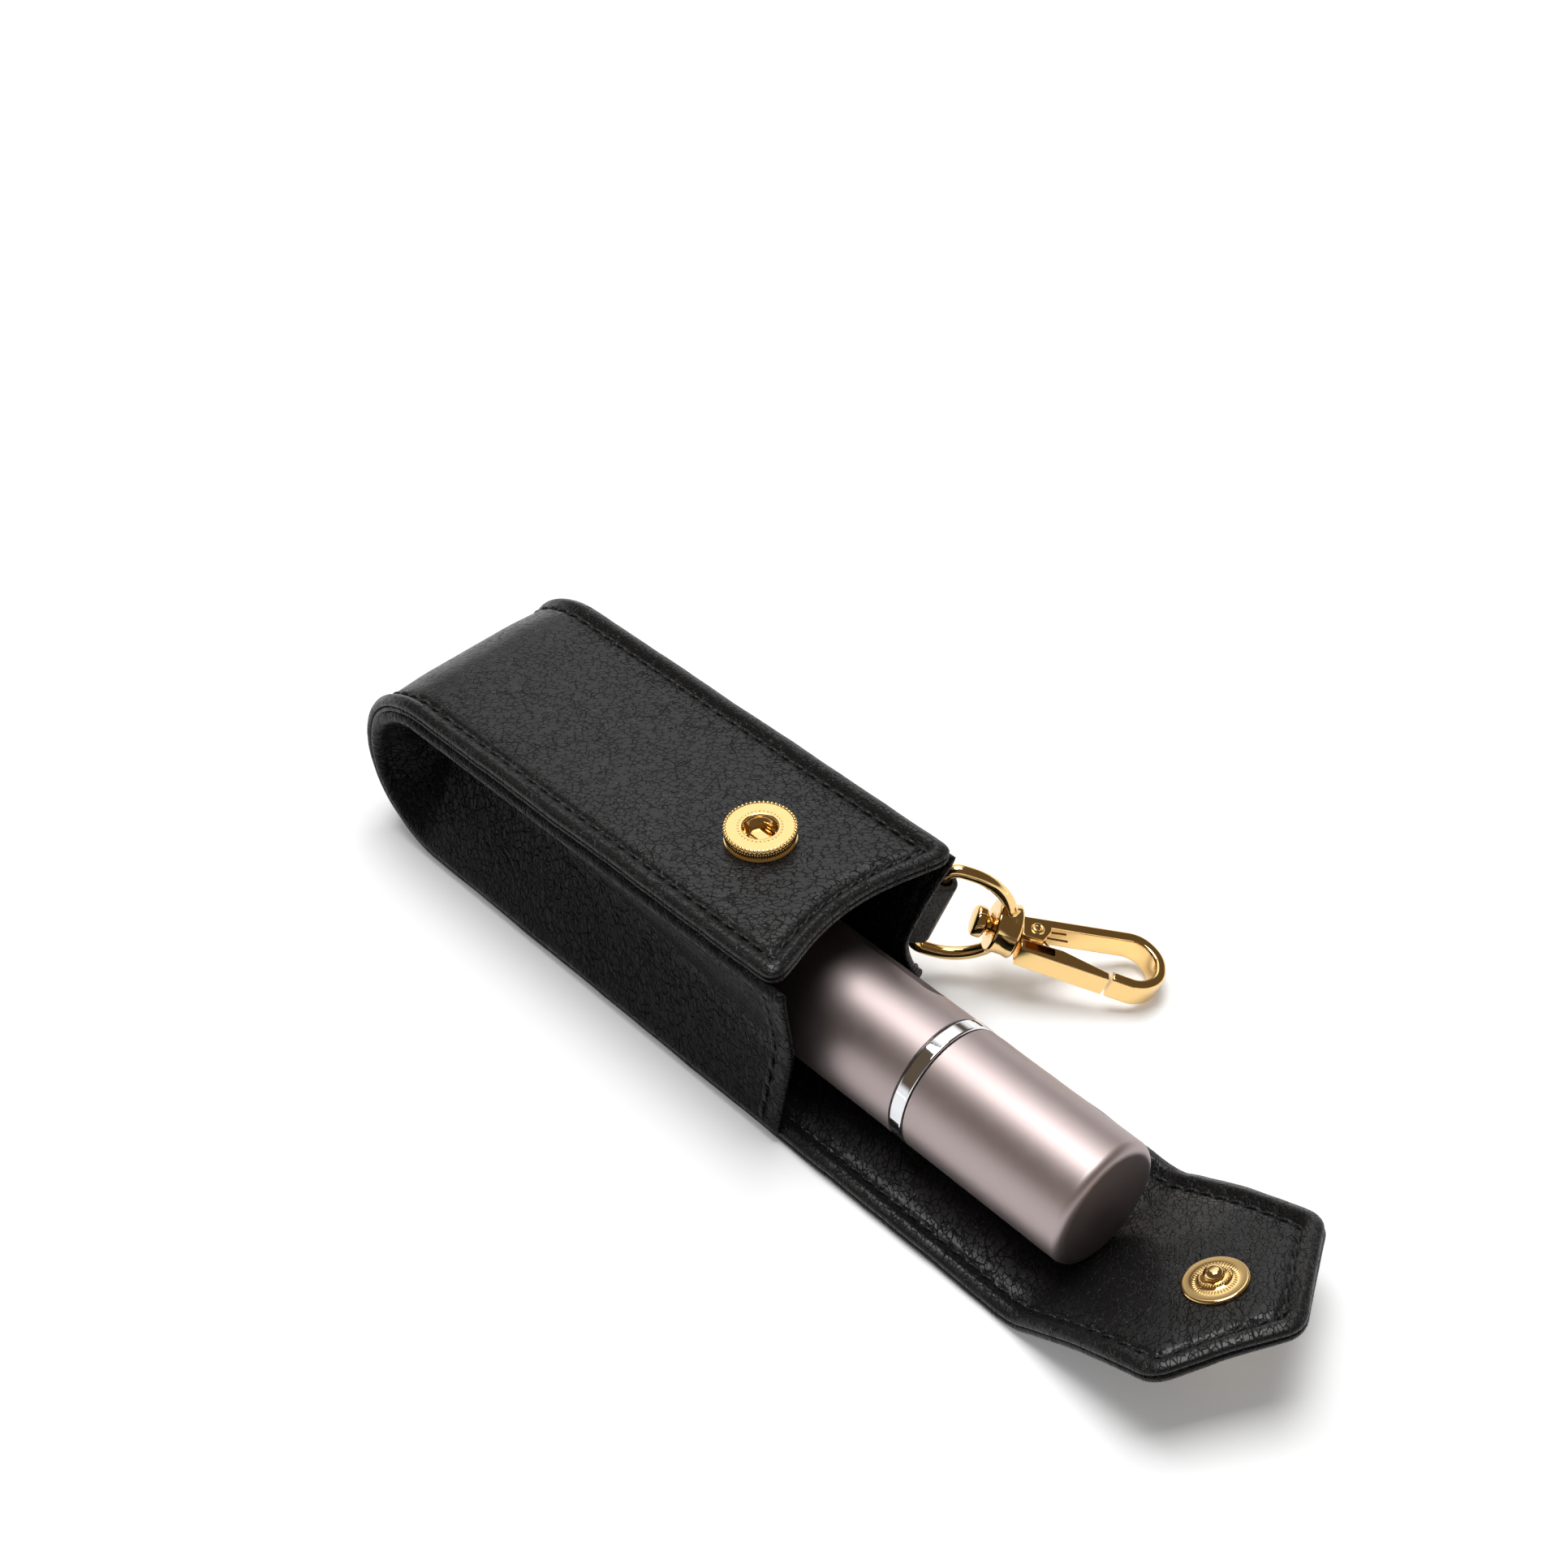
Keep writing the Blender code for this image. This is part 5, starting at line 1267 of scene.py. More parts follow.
def gusset_fold(bow):
    """How far a gusset is drawn in, as a share, from its edge to its crest."""
    past = GUSSET_SHARES - GUSSET_FLANGE
    half = GUSSET_ROUND / 2
    past = (past + np.hypot(past, half) + GUSSET_FLANGE - np.hypot(GUSSET_FLANGE, half)) / 2
    past = (past / past[-1]) ** bow
    fold = np.hypot(1.0, GUSSET_ROUND) - np.hypot(1 - past, GUSSET_ROUND)
    return fold / (np.hypot(1.0, GUSSET_ROUND) - GUSSET_ROUND)


def gusset_middle(wall, rows):
    """Middle face of a gusset as a grid of points, with their distance behind the mouth."""
    x = rows[:, 0:1] + (rows[:, 2:3] - rows[:, 0:1]) * GUSSET_SHARES
    z = rows[:, 1:2] + (rows[:, 3:4] - rows[:, 1:2]) * GUSSET_SHARES
    mouth = np.clip(MOUTH_X - x, 0.0, None)
    flare = wall.low + (wall.high - wall.low) * z / (2 * TURN_RADIUS)
    x = x + flare * np.clip(1 - mouth / GUSSET_FLARE, 0.0, 1.0) ** 2
    deep = wall.share + (1 - wall.share) * ramp(mouth, *GUSSET_DEEP_SPAN)
    empty = ramp(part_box("base_plug")[0].x - x, *GUSSET_EMPTY_SPAN)
    drawn = GUSSET_INSET + (GUSSET_EMPTY_INSET - GUSSET_INSET) * empty
    y = wall.side * (HALF_WIDTH - GUSSET_CLEAR - drawn * deep * gusset_fold(wall.bow))
    return np.stack([x, y, z], axis=-1), mouth


def gusset_normals(wall, rows, middle):
    """Outward directions of a gusset's middle face, the same from both sides of its crest."""
    normal = np.cross(np.gradient(middle, axis=0), np.gradient(middle, axis=1)) * wall.side
    normal[:, -1] = normal[:, -2] + normal[::-1, -2]
    normal[rows[:, 2] == GUSSET_POLE_X, -1] = (0.0, wall.side, 0.0)
    return normal / np.maximum(np.linalg.norm(normal, axis=-1, keepdims=True), WELD ** 2)


def gusset_faces(leather, wall):
    """Outer and inner face of a gusset as grids of points, with its flat map."""
    rows = gusset_outline()
    middle, mouth = gusset_middle(wall, rows)
    normal = gusset_normals(wall, rows, middle)
    step = np.linalg.norm(np.diff(middle, axis=1), axis=-1)
    reach = np.hstack([np.zeros((len(rows), 1)), np.cumsum(step, axis=1)])
    edge = np.minimum(reach, mouth)
    length = run(np.linalg.norm(np.diff(middle[:, 0], axis=0), axis=-1))[:, None]
    half = GUSSET_LEATHER / 2 * np.sqrt(1 - (1 - np.clip(edge / (GUSSET_LEATHER / 2), 0.0, 1.0)) ** 2)
    beat = stitch_beat(leather, middle[..., 2], *HEM_SHARES)
    hem = leather.valley * beat * bell(mouth, leather.stitch_inset, HEM_WIDTH) * ramp(reach, *HEM_SPAN)
    sway = PUCKER_SWAY * np.sin(length * PUCKER_SWAY_RATE)
    pucker = np.sin(2 * pi * length / PUCKER_PITCH + sway) * bell(reach, PUCKER_AT, PUCKER_WIDTH)
    pucker = PUCKER * pucker * ramp(mouth, *PUCKER_SPAN)
    bead = GUSSET_BEAD * bell(reach, GUSSET_BEAD_AT, GUSSET_BEAD_WIDTH)
    bead = bead * np.clip(edge / GUSSET_LEATHER, 0.0, 1.0) ** 0.5
    outer = middle + normal * (half - hem + pucker + bead)[..., None]
    inner = middle - normal * (half + hem - pucker)[..., None]
    spoke = rows[:, 0:2] - rows[:, 2:4]
    spoke = spoke / np.linalg.norm(spoke, axis=1, keepdims=True)
    flat = rows[:, None, 2:4] + spoke[:, None, :] * (reach[:, -1:] - reach)[..., None]
    return GussetGrid(outer, inner, flat, edge < GUSSET_LEATHER / 2, mouth, reach, normal)


def gusset_line(leather, grid):
    """Sewing line down a gusset's mouth edge."""
    columns = np.flatnonzero(grid.reach[0] > HEM_SEWN_FROM)
    half = len(grid.mouth) // 2
    low = int(np.argmin(np.abs(grid.mouth[:half, 0] - leather.stitch_inset)))
    high = len(grid.mouth) - 1 - low
    points, faces_out = [], []
    for row, order in ((low, columns), (high, columns[::-1][1:])):
        for column in order:
            normal = grid.normal[row, column]
            points.append(grid.outer[row, column] + normal * leather.thread * GUSSET_THREAD_PROUD)
            faces_out.append(normal)
    return np.array(points), np.array(faces_out)


class CASE_OT_gussets(Operator):
    """Make the drawn-in side walls and their sewn mouth edges."""

    bl_idname = "case.gussets"
    bl_label = "Gussets"

    def execute(self, context):
        leather = context.scene.case_leather
        finishes = [FINISHES["gusset"], FINISHES["edge"], FINISHES["gusset"]]
        for wall in GUSSET_MOUTHS:
            grid = gusset_faces(leather, wall)
            name = wall.name + "_side"
            mesh = leather_mesh(name, grid.outer, grid.inner, grid.flat, grid.painted)
            side = add_piece(name, mesh, finishes)
            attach(side, "case")
            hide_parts(wall.name + "_gusset")
            thread = thread_piece(name + "_sewing", [gusset_line(leather, grid)])
            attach(thread, "case")
            for piece in (side, thread):
                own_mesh(piece)
        return {"FINISHED"}


# Folded tab: its hole for the eye's bar, and its flat part as shares of its reach and its leather
TAB_LEATHER = 0.0008
TAB_HALF_WIDTH = 0.0053
TAB_HOLE = 0.0012
TAB_BORE_REACH = 0.02
TAB_TURN = radians(37.0)
TAB_REACH = 0.0078
TAB_EDGE = 0.00034
TAB_LOOP_STEPS = 20
TAB_MIDDLE = 0.55
TAB_BULGE = 1.1


def tab_outline():
    """Side view of the folded tab: round the bar and in to the case."""
    along = Vector((-cos(TAB_TURN), -sin(TAB_TURN)))
    aside = Vector((along.y, -along.x))
    outline = []
    for step in range(TAB_LOOP_STEPS + 1):
        angle = pi * step / TAB_LOOP_STEPS
        outline.append((aside * cos(angle) - along * sin(angle)) * (TAB_HOLE + TAB_LEATHER))
    for reach, half in ((TAB_MIDDLE, -TAB_BULGE), (1.0, -1.0), (1.0, 1.0), (TAB_MIDDLE, TAB_BULGE)):
        outline.append(along * TAB_REACH * reach + aside * TAB_LEATHER * half)
    return [tuple(point) for point in outline]


class CASE_OT_tab(Operator):
    """Make the folded leather tab round the eye's bar."""

    bl_idname = "case.tab"
    bl_label = "Tab"

    def execute(self, context):
        body = plate_mesh("tab", tab_outline(), 2 * TAB_HALF_WIDTH, TAB_EDGE)
        mesh = combined(body, [("DIFFERENCE", rod_mesh(TAB_HOLE, -TAB_BORE_REACH, TAB_BORE_REACH))])
        mesh.transform(eye_place(BAR))
        fitted("folded_tab", mesh, "tab", "black_leather", "case", "ring_tab")
        return {"FINISHED"}


# Snap's socket, up from the leather, where a pair is a distance sideways and one in height
SNAP_STEPS = 96
SOCKET_RADIUS = 0.0046
SOCKET_HEIGHT = 0.0019
SOCKET_HOLE = 0.00215
SOCKET_DISH = 0.00145
SOCKET_DISH_LEVEL = 0.34
SOCKET_THROAT = (0.0001, 0.00050)
SOCKET_LIP = 0.00030
SOCKET_LIP_END = (0.0006, 0.00004)
SOCKET_ROLL = SOCKET_RADIUS * 0.10
SOCKET_ROLL_START = (SOCKET_ROLL * 2.2, 0.00006)
SOCKET_WAIST = SOCKET_RADIUS - 0.00022
SOCKET_WAIST_LEVELS = (0.60, 0.22)
SOCKET_FOOT = 0.00020
SOCKET_HEM = 0.0002
SOCKET_SUNK = 0.0003

# Marks on the snap: half their length along the ring, half their width and height, and where their rings lie
RIM_DOT, RIM_DOT_AT = (0.00025, 0.00026, 0.00026), (SOCKET_ROLL * 0.38, 0.00012)
HOLE_DOT, HOLE_DOT_AT = (0.00014, 0.00013, 0.00011), (0.00062, 0.00002)
FLUTE, FLUTE_LEVEL = (0.00011, 0.00015, 0.00050), 0.42
STUD_RIDGE, STUD_RIDGE_AT = (0.00012, 0.00040, 0.00010), (0.00255, -0.00005)
STUD_PEARL, STUD_PEARL_AT = (0.00011, 0.00016, 0.00018), (0.00172, 0.00024)

# Snap's stud: a disc and a ball on a neck, whose foot and collar are counted up from the disc
STUD_RADIUS = 0.0040
STUD_DISC = 0.0007
STUD_HEIGHT = 0.0015
STUD_NECK = 0.00095
STUD_BULB = 0.00125
STUD_CROWN = 0.0004
STUD_FOOT = ((0.0, 0.00055), (0.00015, 0.00046))
STUD_COLLAR = ((0.00160, 0.00040), (0.00195, 0.00004), (0.0021, -0.00002), (0.0031, -0.00002))
STUD_RIM = 0.00030
STUD_RIM_DROP = 0.00032
STUD_HEM = 0.0004
STUD_SUNK = 0.0002


def socket_place():
    """Place of the snap's socket on the front panel."""
    low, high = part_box("socket_shell")
    x = (low.x + high.x) / 2 + SOCKET_HEIGHT / 2 * sin(FRONT_RISE)
    made = Matrix.Rotation(-FRONT_RISE, 4, "Y")
    made.translation = (x, 0.0, front_height(x) + bpy.context.scene.case_leather.crown)
    return made


def stud_place():
    """Place of the stud on the open tongue's inner face."""
    along = STRIP.fold + STUD_ALONG
    points, _ = STRIP.place(np.array([along]), 0.0, np.array([-WALL / 2]))
    heading = float(np.interp(along, STRIP.along, STRIP.heading)) - 2 * pi
    made = Matrix.Rotation(-heading, 4, "Y")
    made.translation = points[0]
    return made


def socket_mesh(metal):
    """Dished socket with a rolled rim, dots round its rim and its hole, and flutes round its wall."""
    top, roll = SOCKET_HEIGHT, SOCKET_ROLL
    shell = [(SOCKET_DISH, top * SOCKET_DISH_LEVEL), (SOCKET_HOLE - SOCKET_THROAT[0], top - SOCKET_THROAT[1])]
    shell += arc_points((SOCKET_HOLE + SOCKET_LIP, top - SOCKET_LIP), SOCKET_LIP, 180, 80, 6)
    shell.append((SOCKET_HOLE + SOCKET_LIP_END[0], top + SOCKET_LIP_END[1]))
    shell.append((SOCKET_RADIUS - SOCKET_ROLL_START[0], top - SOCKET_ROLL_START[1]))
    shell += arc_points((SOCKET_RADIUS - roll, top - roll), roll, 100, -10, 8)
    shell += [(SOCKET_WAIST, top * level) for level in SOCKET_WAIST_LEVELS]
    shell += [(SOCKET_RADIUS, SOCKET_FOOT), (SOCKET_RADIUS - SOCKET_HEM, -SOCKET_SUNK)]
    shell.append((SOCKET_DISH, -SOCKET_SUNK))
    return joined("snap_socket", [
        turned_mesh("shell", shell, SNAP_STEPS),
        ring_of_marks(metal.rim_dots, SOCKET_RADIUS - RIM_DOT_AT[0], top - RIM_DOT_AT[1], RIM_DOT),
        ring_of_marks(metal.hole_dots, SOCKET_HOLE + HOLE_DOT_AT[0], top + HOLE_DOT_AT[1], HOLE_DOT),
        ring_of_marks(metal.flutes, SOCKET_WAIST, top * FLUTE_LEVEL, FLUTE),
    ])


def stud_mesh(metal):
    """Stud's ball on its disc, with ridges and pearls round it."""
    disc = STUD_DISC
    bulb = STUD_BULB - STUD_CROWN
    stud = [(0.0, disc + STUD_HEIGHT)]
    stud += arc_points((STUD_CROWN, disc + STUD_HEIGHT - STUD_BULB + STUD_CROWN), bulb, 88, -40, 12)
    stud += [(STUD_NECK + out, disc + up) for out, up in STUD_FOOT]
    stud += [(radius, disc + up) for radius, up in STUD_COLLAR]
    stud += arc_points((STUD_RADIUS - STUD_RIM, disc - STUD_RIM_DROP), STUD_RIM, 100, -30, 9)
    stud += [(STUD_RADIUS - STUD_HEM, -STUD_SUNK), (0.0, -STUD_SUNK)]
    return joined("snap_stud", [
        turned_mesh("stud", stud, SNAP_STEPS),
        ring_of_marks(metal.stud_ridges, STUD_RIDGE_AT[0], disc + STUD_RIDGE_AT[1], STUD_RIDGE),
        ring_of_marks(metal.hole_dots, STUD_PEARL_AT[0], disc + STUD_PEARL_AT[1], STUD_PEARL),
    ])


class CASE_OT_snap(Operator):
    """Make the snap's socket and stud."""

    bl_idname = "case.snap"
    bl_label = "Snap"

    def execute(self, context):
        metal = context.scene.case_metal
        socket = socket_mesh(metal)
        socket.transform(socket_place())
        fitted("snap_socket", socket, "gold", "gold_metal", "case", "socket_shell")
        stud = stud_mesh(metal)
        stud.transform(stud_place())
        fitted("snap_stud", stud, "gold", "gold_metal", "flap_tongue", "stud_body")
        return {"FINISHED"}


# Eye: the D loop of wire and the collar, whose heights run along the hook's stem
EYE_WIRE = 0.0009
EYE_HALF_HEIGHT = 0.0075
EYE_DEPTH = 0.0108
EYE_FLAT = 0.0030
EYE_CORNER = 0.0018
EYE_BOW_STEPS = 40
STEM_RADIUS = 0.00095
STEM_BACK = 0.0042
COLLAR_RADIUS = 0.0036
COLLAR_BORE = STEM_RADIUS + 0.0003
COLLAR_BACK = 0.0023
COLLAR_FRONT = 0.0011
COLLAR_EDGE = 0.00045
COLLAR_BACK_EDGE = COLLAR_EDGE * 0.7
COLLAR_WAIST = 0.0002
COLLAR_WAIST_BACK = 0.00022
COLLAR_MOUTH = (0.0006, 0.0005)
COLLAR_STEPS = 64
BORE_REACH = 0.004
ALONG_STEM = Matrix.Rotation(pi / 2, 4, "Y")


def loop_mesh():
    """D loop, in the plane of its bar and the hook's stem."""
    top = EYE_HALF_HEIGHT
    path = rounded_path([(EYE_FLAT, top), (0.0, top), (0.0, -top), (EYE_FLAT, -top)], EYE_CORNER)
    for step in range(1, EYE_BOW_STEPS):
        turn = -pi / 2 + pi * step / EYE_BOW_STEPS
        path.append((EYE_FLAT + (EYE_DEPTH - EYE_FLAT) * cos(turn), top * sin(turn)))
    return wire_mesh("eye_loop", [(x, 0.0, z) for x, z in path], EYE_WIRE)


def collar_mesh():
    """Swivel collar with a rounded front and a waist."""
    edge = COLLAR_BACK_EDGE
    collar = [(COLLAR_BORE, COLLAR_FRONT)]
    collar += arc_points((COLLAR_RADIUS - COLLAR_EDGE, COLLAR_FRONT - COLLAR_EDGE), COLLAR_EDGE, 90, 0, 6)
    collar += [(COLLAR_RADIUS - COLLAR_WAIST, 0.0), (COLLAR_RADIUS - COLLAR_WAIST_BACK, -COLLAR_BACK / 2)]
    collar += arc_points((COLLAR_RADIUS - edge, edge - COLLAR_BACK), edge, 15, -90, 6)
    collar += [(COLLAR_BORE + COLLAR_MOUTH[0], -COLLAR_BACK), (COLLAR_BORE, COLLAR_MOUTH[1] - COLLAR_BACK)]
    return turned_mesh("collar", collar, COLLAR_STEPS)


class CASE_OT_eye(Operator):
    """Make the D loop with its swivel collar."""

    bl_idname = "case.eye"
    bl_label = "Swivel eye"

    def execute(self, context):
        collar = collar_mesh()
        bore = rod_mesh(COLLAR_BORE, -BORE_REACH, BORE_REACH, COLLAR_STEPS)
        for part in (collar, bore):
            part.transform(Matrix.Translation((EYE_DEPTH, 0.0, 0.0)) @ ALONG_STEM)
        mesh = combined(loop_mesh(), [("UNION", collar), ("DIFFERENCE", bore)])
        mesh.transform(eye_place(BAR))
        fitted("swivel_loop", mesh, "gold", "gold_metal", "eye", "swivel_eye")
        return {"FINISHED"}


# Hook's strip, seen square to it: its arm, its bend and its nose, with the corners as shares of the fillet
HOOK_HEIGHT = 0.0036
HOOK_STRIP = 0.0015
HOOK_EDGE = 0.00042
HOOK_LENGTH = 0.0215
HOOK_ARM_ROOT = 0.0009
HOOK_ARM_END = 0.0040
HOOK_NOSE_SIDE = -0.0044
HOOK_NOSE_END = 0.0140
HOOK_NOSE_LEAN = HOOK_STRIP * 0.15
HOOK_FILLET = 0.0030
HOOK_BEND_BACK = HOOK_FILLET * 0.9
HOOK_BEND_ARM = HOOK_FILLET * 0.8
HOOK_BEND_NOSE = HOOK_FILLET * 0.7
HOOK_BEND_RADIUS = HOOK_FILLET * 1.2
HOOK_BEND_STEPS = 12

# Hook's root: two cheeks with a slot for the gate between them
ROOT_START = 0.0014
ROOT_END = 0.0054
ROOT_SIDE = -0.0018
CHEEK_SIDE = HOOK_ARM_ROOT + HOOK_STRIP * 0.45
CHEEK_BEND = ROOT_END * 0.8
CHEEK_EDGE = 0.00022
STEM_SUNK = 0.0003
SLOT_HALF = 0.00115
SLOT_START = 0.0019
SLOT_SIDE = 0.0011
SLOT_PAST_SIDE = 0.002
SLOT_PAST_END = 0.0003

# Mushroom head on the stem's end, with its neck and its dome
HEAD_RADIUS = 0.0021
HEAD_HEIGHT = 0.0015
HEAD_BACK = -STEM_BACK - HEAD_HEIGHT * 0.4
HEAD_LIP = 0.00030
HEAD_NECK = 0.0004
HEAD_NECK_TOP = 0.00025
HEAD_NECK_FOOT = 0.00045
HEAD_ROUND = 0.0006
HEAD_ROUND_LEVEL = 0.00055
HEAD_DOME = ((HEAD_RADIUS * 0.4, 0.00012), (0.0, 0.00015))
HEAD_STEPS = 56

# Rivet of the gate, whose heads are dished
PIN_RADIUS = 0.0005
PIN_PLAY = 0.00015
PIN_HEAD = 0.00092
PIN_DISH = ((0.0, 0.00012), (PIN_HEAD * 0.35, 0.00010))
PIN_ROUND = 0.00026
PIN_ROUND_AT = (0.0003, 0.00008)
PIN_STEPS = 48

# Gate: a bar with a pocket at its root and a tang round the rivet
GATE_START = 0.0014
GATE_GAP = 0.00045
GATE_STRIP = 0.0011
GATE_OUTER_START = -0.0042
GATE_ROOT_STRIP = 0.0019
GATE_EDGE = 0.00026
GATE_PLAY = 0.0003
GATE_WALL = 0.00034
GATE_HOLLOW_START = 0.0019
GATE_HOLLOW_END = 0.0060
TANG_RADIUS = 0.00095
TANG_LOW = -0.0010
TANG_HIGH = -0.00025
TANG_EDGE = 0.0001
TANG_STEPS = 24


def pin_bore(pin):
    """Rod that cuts the rivet's hole."""
    bore = rod_mesh(PIN_RADIUS + PIN_PLAY, -BORE_REACH, BORE_REACH)
    bore.transform(Matrix.Translation(pin))
    return bore


def hook_strip():
    """Outline of the hook's bent strip, seen square to it."""
    bend = HOOK_LENGTH - HOOK_STRIP / 2
    centre = rounded_path([
        (ROOT_START, HOOK_ARM_ROOT),
        (bend - HOOK_BEND_BACK, HOOK_ARM_END),
        (bend, HOOK_ARM_END - HOOK_BEND_ARM),
        (bend, HOOK_NOSE_SIDE + HOOK_BEND_NOSE),
        (bend - HOOK_BEND_BACK, HOOK_NOSE_SIDE),
        (HOOK_NOSE_END, HOOK_NOSE_SIDE + HOOK_NOSE_LEAN),
    ], HOOK_BEND_RADIUS, HOOK_BEND_STEPS)
    return beside(centre, HOOK_STRIP / 2) + beside(centre, -HOOK_STRIP / 2)[::-1]


def hook_mesh(pin):
    """Bent strip with its two cheeks and its stem."""
    cheeks = [(ROOT_START, CHEEK_SIDE), (ROOT_START, ROOT_SIDE), (CHEEK_BEND, ROOT_SIDE), (ROOT_END, 0.0),
              (ROOT_END, CHEEK_SIDE)]
    stem = rod_mesh(STEM_RADIUS, -STEM_BACK, ROOT_START + STEM_SUNK)
    stem.transform(ALONG_STEM)
    slot_low = (SLOT_START, ROOT_SIDE - SLOT_PAST_SIDE, -SLOT_HALF)
    slot_high = (ROOT_END + SLOT_PAST_END, SLOT_SIDE, SLOT_HALF)
    return combined(plate_mesh("hook_strip", hook_strip(), HOOK_HEIGHT, HOOK_EDGE), [
        ("UNION", plate_mesh("hook_cheeks", cheeks, HOOK_HEIGHT, CHEEK_EDGE)),
        ("DIFFERENCE", box_mesh(slot_low, slot_high)),
        ("DIFFERENCE", pin_bore(pin)),
        ("UNION", stem),
    ])


def head_mesh():
    """Mushroom head, with its height along the stem."""
    back, front = HEAD_BACK, HEAD_BACK + HEAD_HEIGHT
    head = [(0.0, front + HEAD_NECK), (STEM_RADIUS + HEAD_NECK_TOP, front + HEAD_NECK),
            (STEM_RADIUS + HEAD_NECK_FOOT, front)]
    head += arc_points((HEAD_RADIUS - HEAD_LIP, front - HEAD_LIP), HEAD_LIP, 90, 0, 4)
    head += arc_points((HEAD_RADIUS - HEAD_ROUND, back + HEAD_ROUND_LEVEL), HEAD_ROUND, 0, -70, 6)
    head += [(radius, back - drop) for radius, drop in HEAD_DOME]
    return turned_mesh("swivel_head", head, HEAD_STEPS)


def rivet_mesh():
    """Rivet with a like head on each side."""
    half = HOOK_HEIGHT / 2
    upper = [(radius, half + rise) for radius, rise in PIN_DISH]
    upper += arc_points((PIN_HEAD - PIN_ROUND_AT[0], half + PIN_ROUND_AT[1]), PIN_ROUND, 150, 0, 8)
    upper += [(PIN_HEAD, half), (PIN_RADIUS, half)]
    return turned_mesh("gate_rivet", upper + [(radius, -height) for radius, height in upper[::-1]], PIN_STEPS)


def gate_mesh(pin):
    """Gate's bar with its pocket, its tang and the rivet's hole."""
    end = HOOK_NOSE_END - GATE_GAP
    outer_end = HOOK_NOSE_SIDE + HOOK_NOSE_LEAN - HOOK_STRIP / 2
    inner_start = GATE_OUTER_START + GATE_ROOT_STRIP
    bar = [(GATE_START, GATE_OUTER_START), (end, outer_end), (end, outer_end + GATE_STRIP),
           (GATE_HOLLOW_END + GATE_STRIP, inner_start), (GATE_START, inner_start)]
    foot = GATE_OUTER_START + GATE_WALL / 2
    tang = [(pin.x - TANG_RADIUS, foot)]
    for step in range(TANG_STEPS + 1):
        angle = pi - pi * step / TANG_STEPS
        tang.append((pin.x + TANG_RADIUS * cos(angle), pin.y + TANG_RADIUS * sin(angle)))
    tang.append((pin.x + TANG_RADIUS, foot))
    plate = plate_mesh("tang", tang, TANG_HIGH - TANG_LOW, TANG_EDGE)
    plate.transform(Matrix.Translation((0.0, 0.0, (TANG_HIGH + TANG_LOW) / 2)))
    hollow = box_mesh((GATE_HOLLOW_START, GATE_OUTER_START + GATE_WALL, -SLOT_HALF),
                      (GATE_HOLLOW_END, inner_start - GATE_WALL, HOOK_HEIGHT))
    return combined(plate_mesh("bar", bar, HOOK_HEIGHT - GATE_PLAY, GATE_EDGE), [
        ("DIFFERENCE", hollow),
        ("UNION", plate),
        ("DIFFERENCE", pin_bore(pin)),
    ])


class CASE_OT_hook(Operator):
    """Make the hook with its stem, head, rivet and gate."""

    bl_idname = "case.hook"
    bl_label = "Swivel hook"

    def execute(self, context):
        place = eye_place(STEM)
        pin = place.inverted() @ PIN
        for name, mesh, where, body, replaced in (
            ("spring_hook", hook_mesh(pin), place, "hook", "hook_frame"),
            ("swivel_knob", head_mesh(), place @ ALONG_STEM, "hook", "swivel_head"),
            ("gate_rivet", rivet_mesh(), eye_place(PIN), "hook", "gate_pin"),
            ("spring_gate", gate_mesh(pin), place, "gate", "hook_gate"),
        ):
            mesh.transform(where)
            fitted(name, mesh, "gold", "gold_metal", body, replaced)
        return {"FINISHED"}


# Atomizer, up from its base: the sleeve with its window, the ring and the cap
ATOMIZER_RADIUS = 0.0085
ATOMIZER_STEPS = 128
TUBE_EDGE = 0.00012
SLEEVE_WALL = 0.0006
CAP_FILLET = 0.0014
CAP_WALL = 0.0008
CAP_CORNER = (0.0016, 0.0020)
CAP_TOP = 0.0012
RING_GAP = 0.0003
RING_EDGE = 0.0003
RING_EDGE_IN = 0.0002
RING_BORE = 0.0054
RING_GRIP = 0.0069
RING_SEAT = 0.0076
WINDOW_DROP = 0.0055
WINDOW_LENGTH = 0.0230
WINDOW_WIDTH = 0.0040
WINDOW_TURN = radians(-48.0)
WINDOW_STEPS = 24
WINDOW_EDGE = 0.00001


def atomizer_place():
    """Place of the atomizer: its axis Z along the case, from its base."""
    low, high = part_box("base_plug")
    made = Matrix.Rotation(pi / 2, 4, "Y")
    made.translation = (low.x, (low.y + high.y) / 2, (low.z + high.z) / 2)
    return made


def along_axis(node_name):
    """Start and end of a node along the atomizer's axis, from its base."""
    low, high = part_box(node_name)
    base = atomizer_place().translation.x
    return low.x - base, high.x - base


def window_mesh(top):
    """Round-ended bar that cuts the level window, from its top end down."""
    half = WINDOW_WIDTH / 2
    outline = []
    for centre, first in ((top - half, 0.0), (top - WINDOW_LENGTH + half, pi)):
        for step in range(WINDOW_STEPS + 1):
            angle = first + pi * step / WINDOW_STEPS
            outline.append((half * cos(angle), centre + half * sin(angle)))
    mesh = plate_mesh("window", outline, ATOMIZER_RADIUS, WINDOW_EDGE)
    mesh.transform(Matrix.Rotation(WINDOW_TURN, 4, "Z") @ Matrix.Translation((-ATOMIZER_RADIUS, 0.0, 0.0))
                   @ Matrix.Rotation(pi / 2, 4, "Z") @ Matrix.Rotation(pi / 2, 4, "X"))
    return mesh


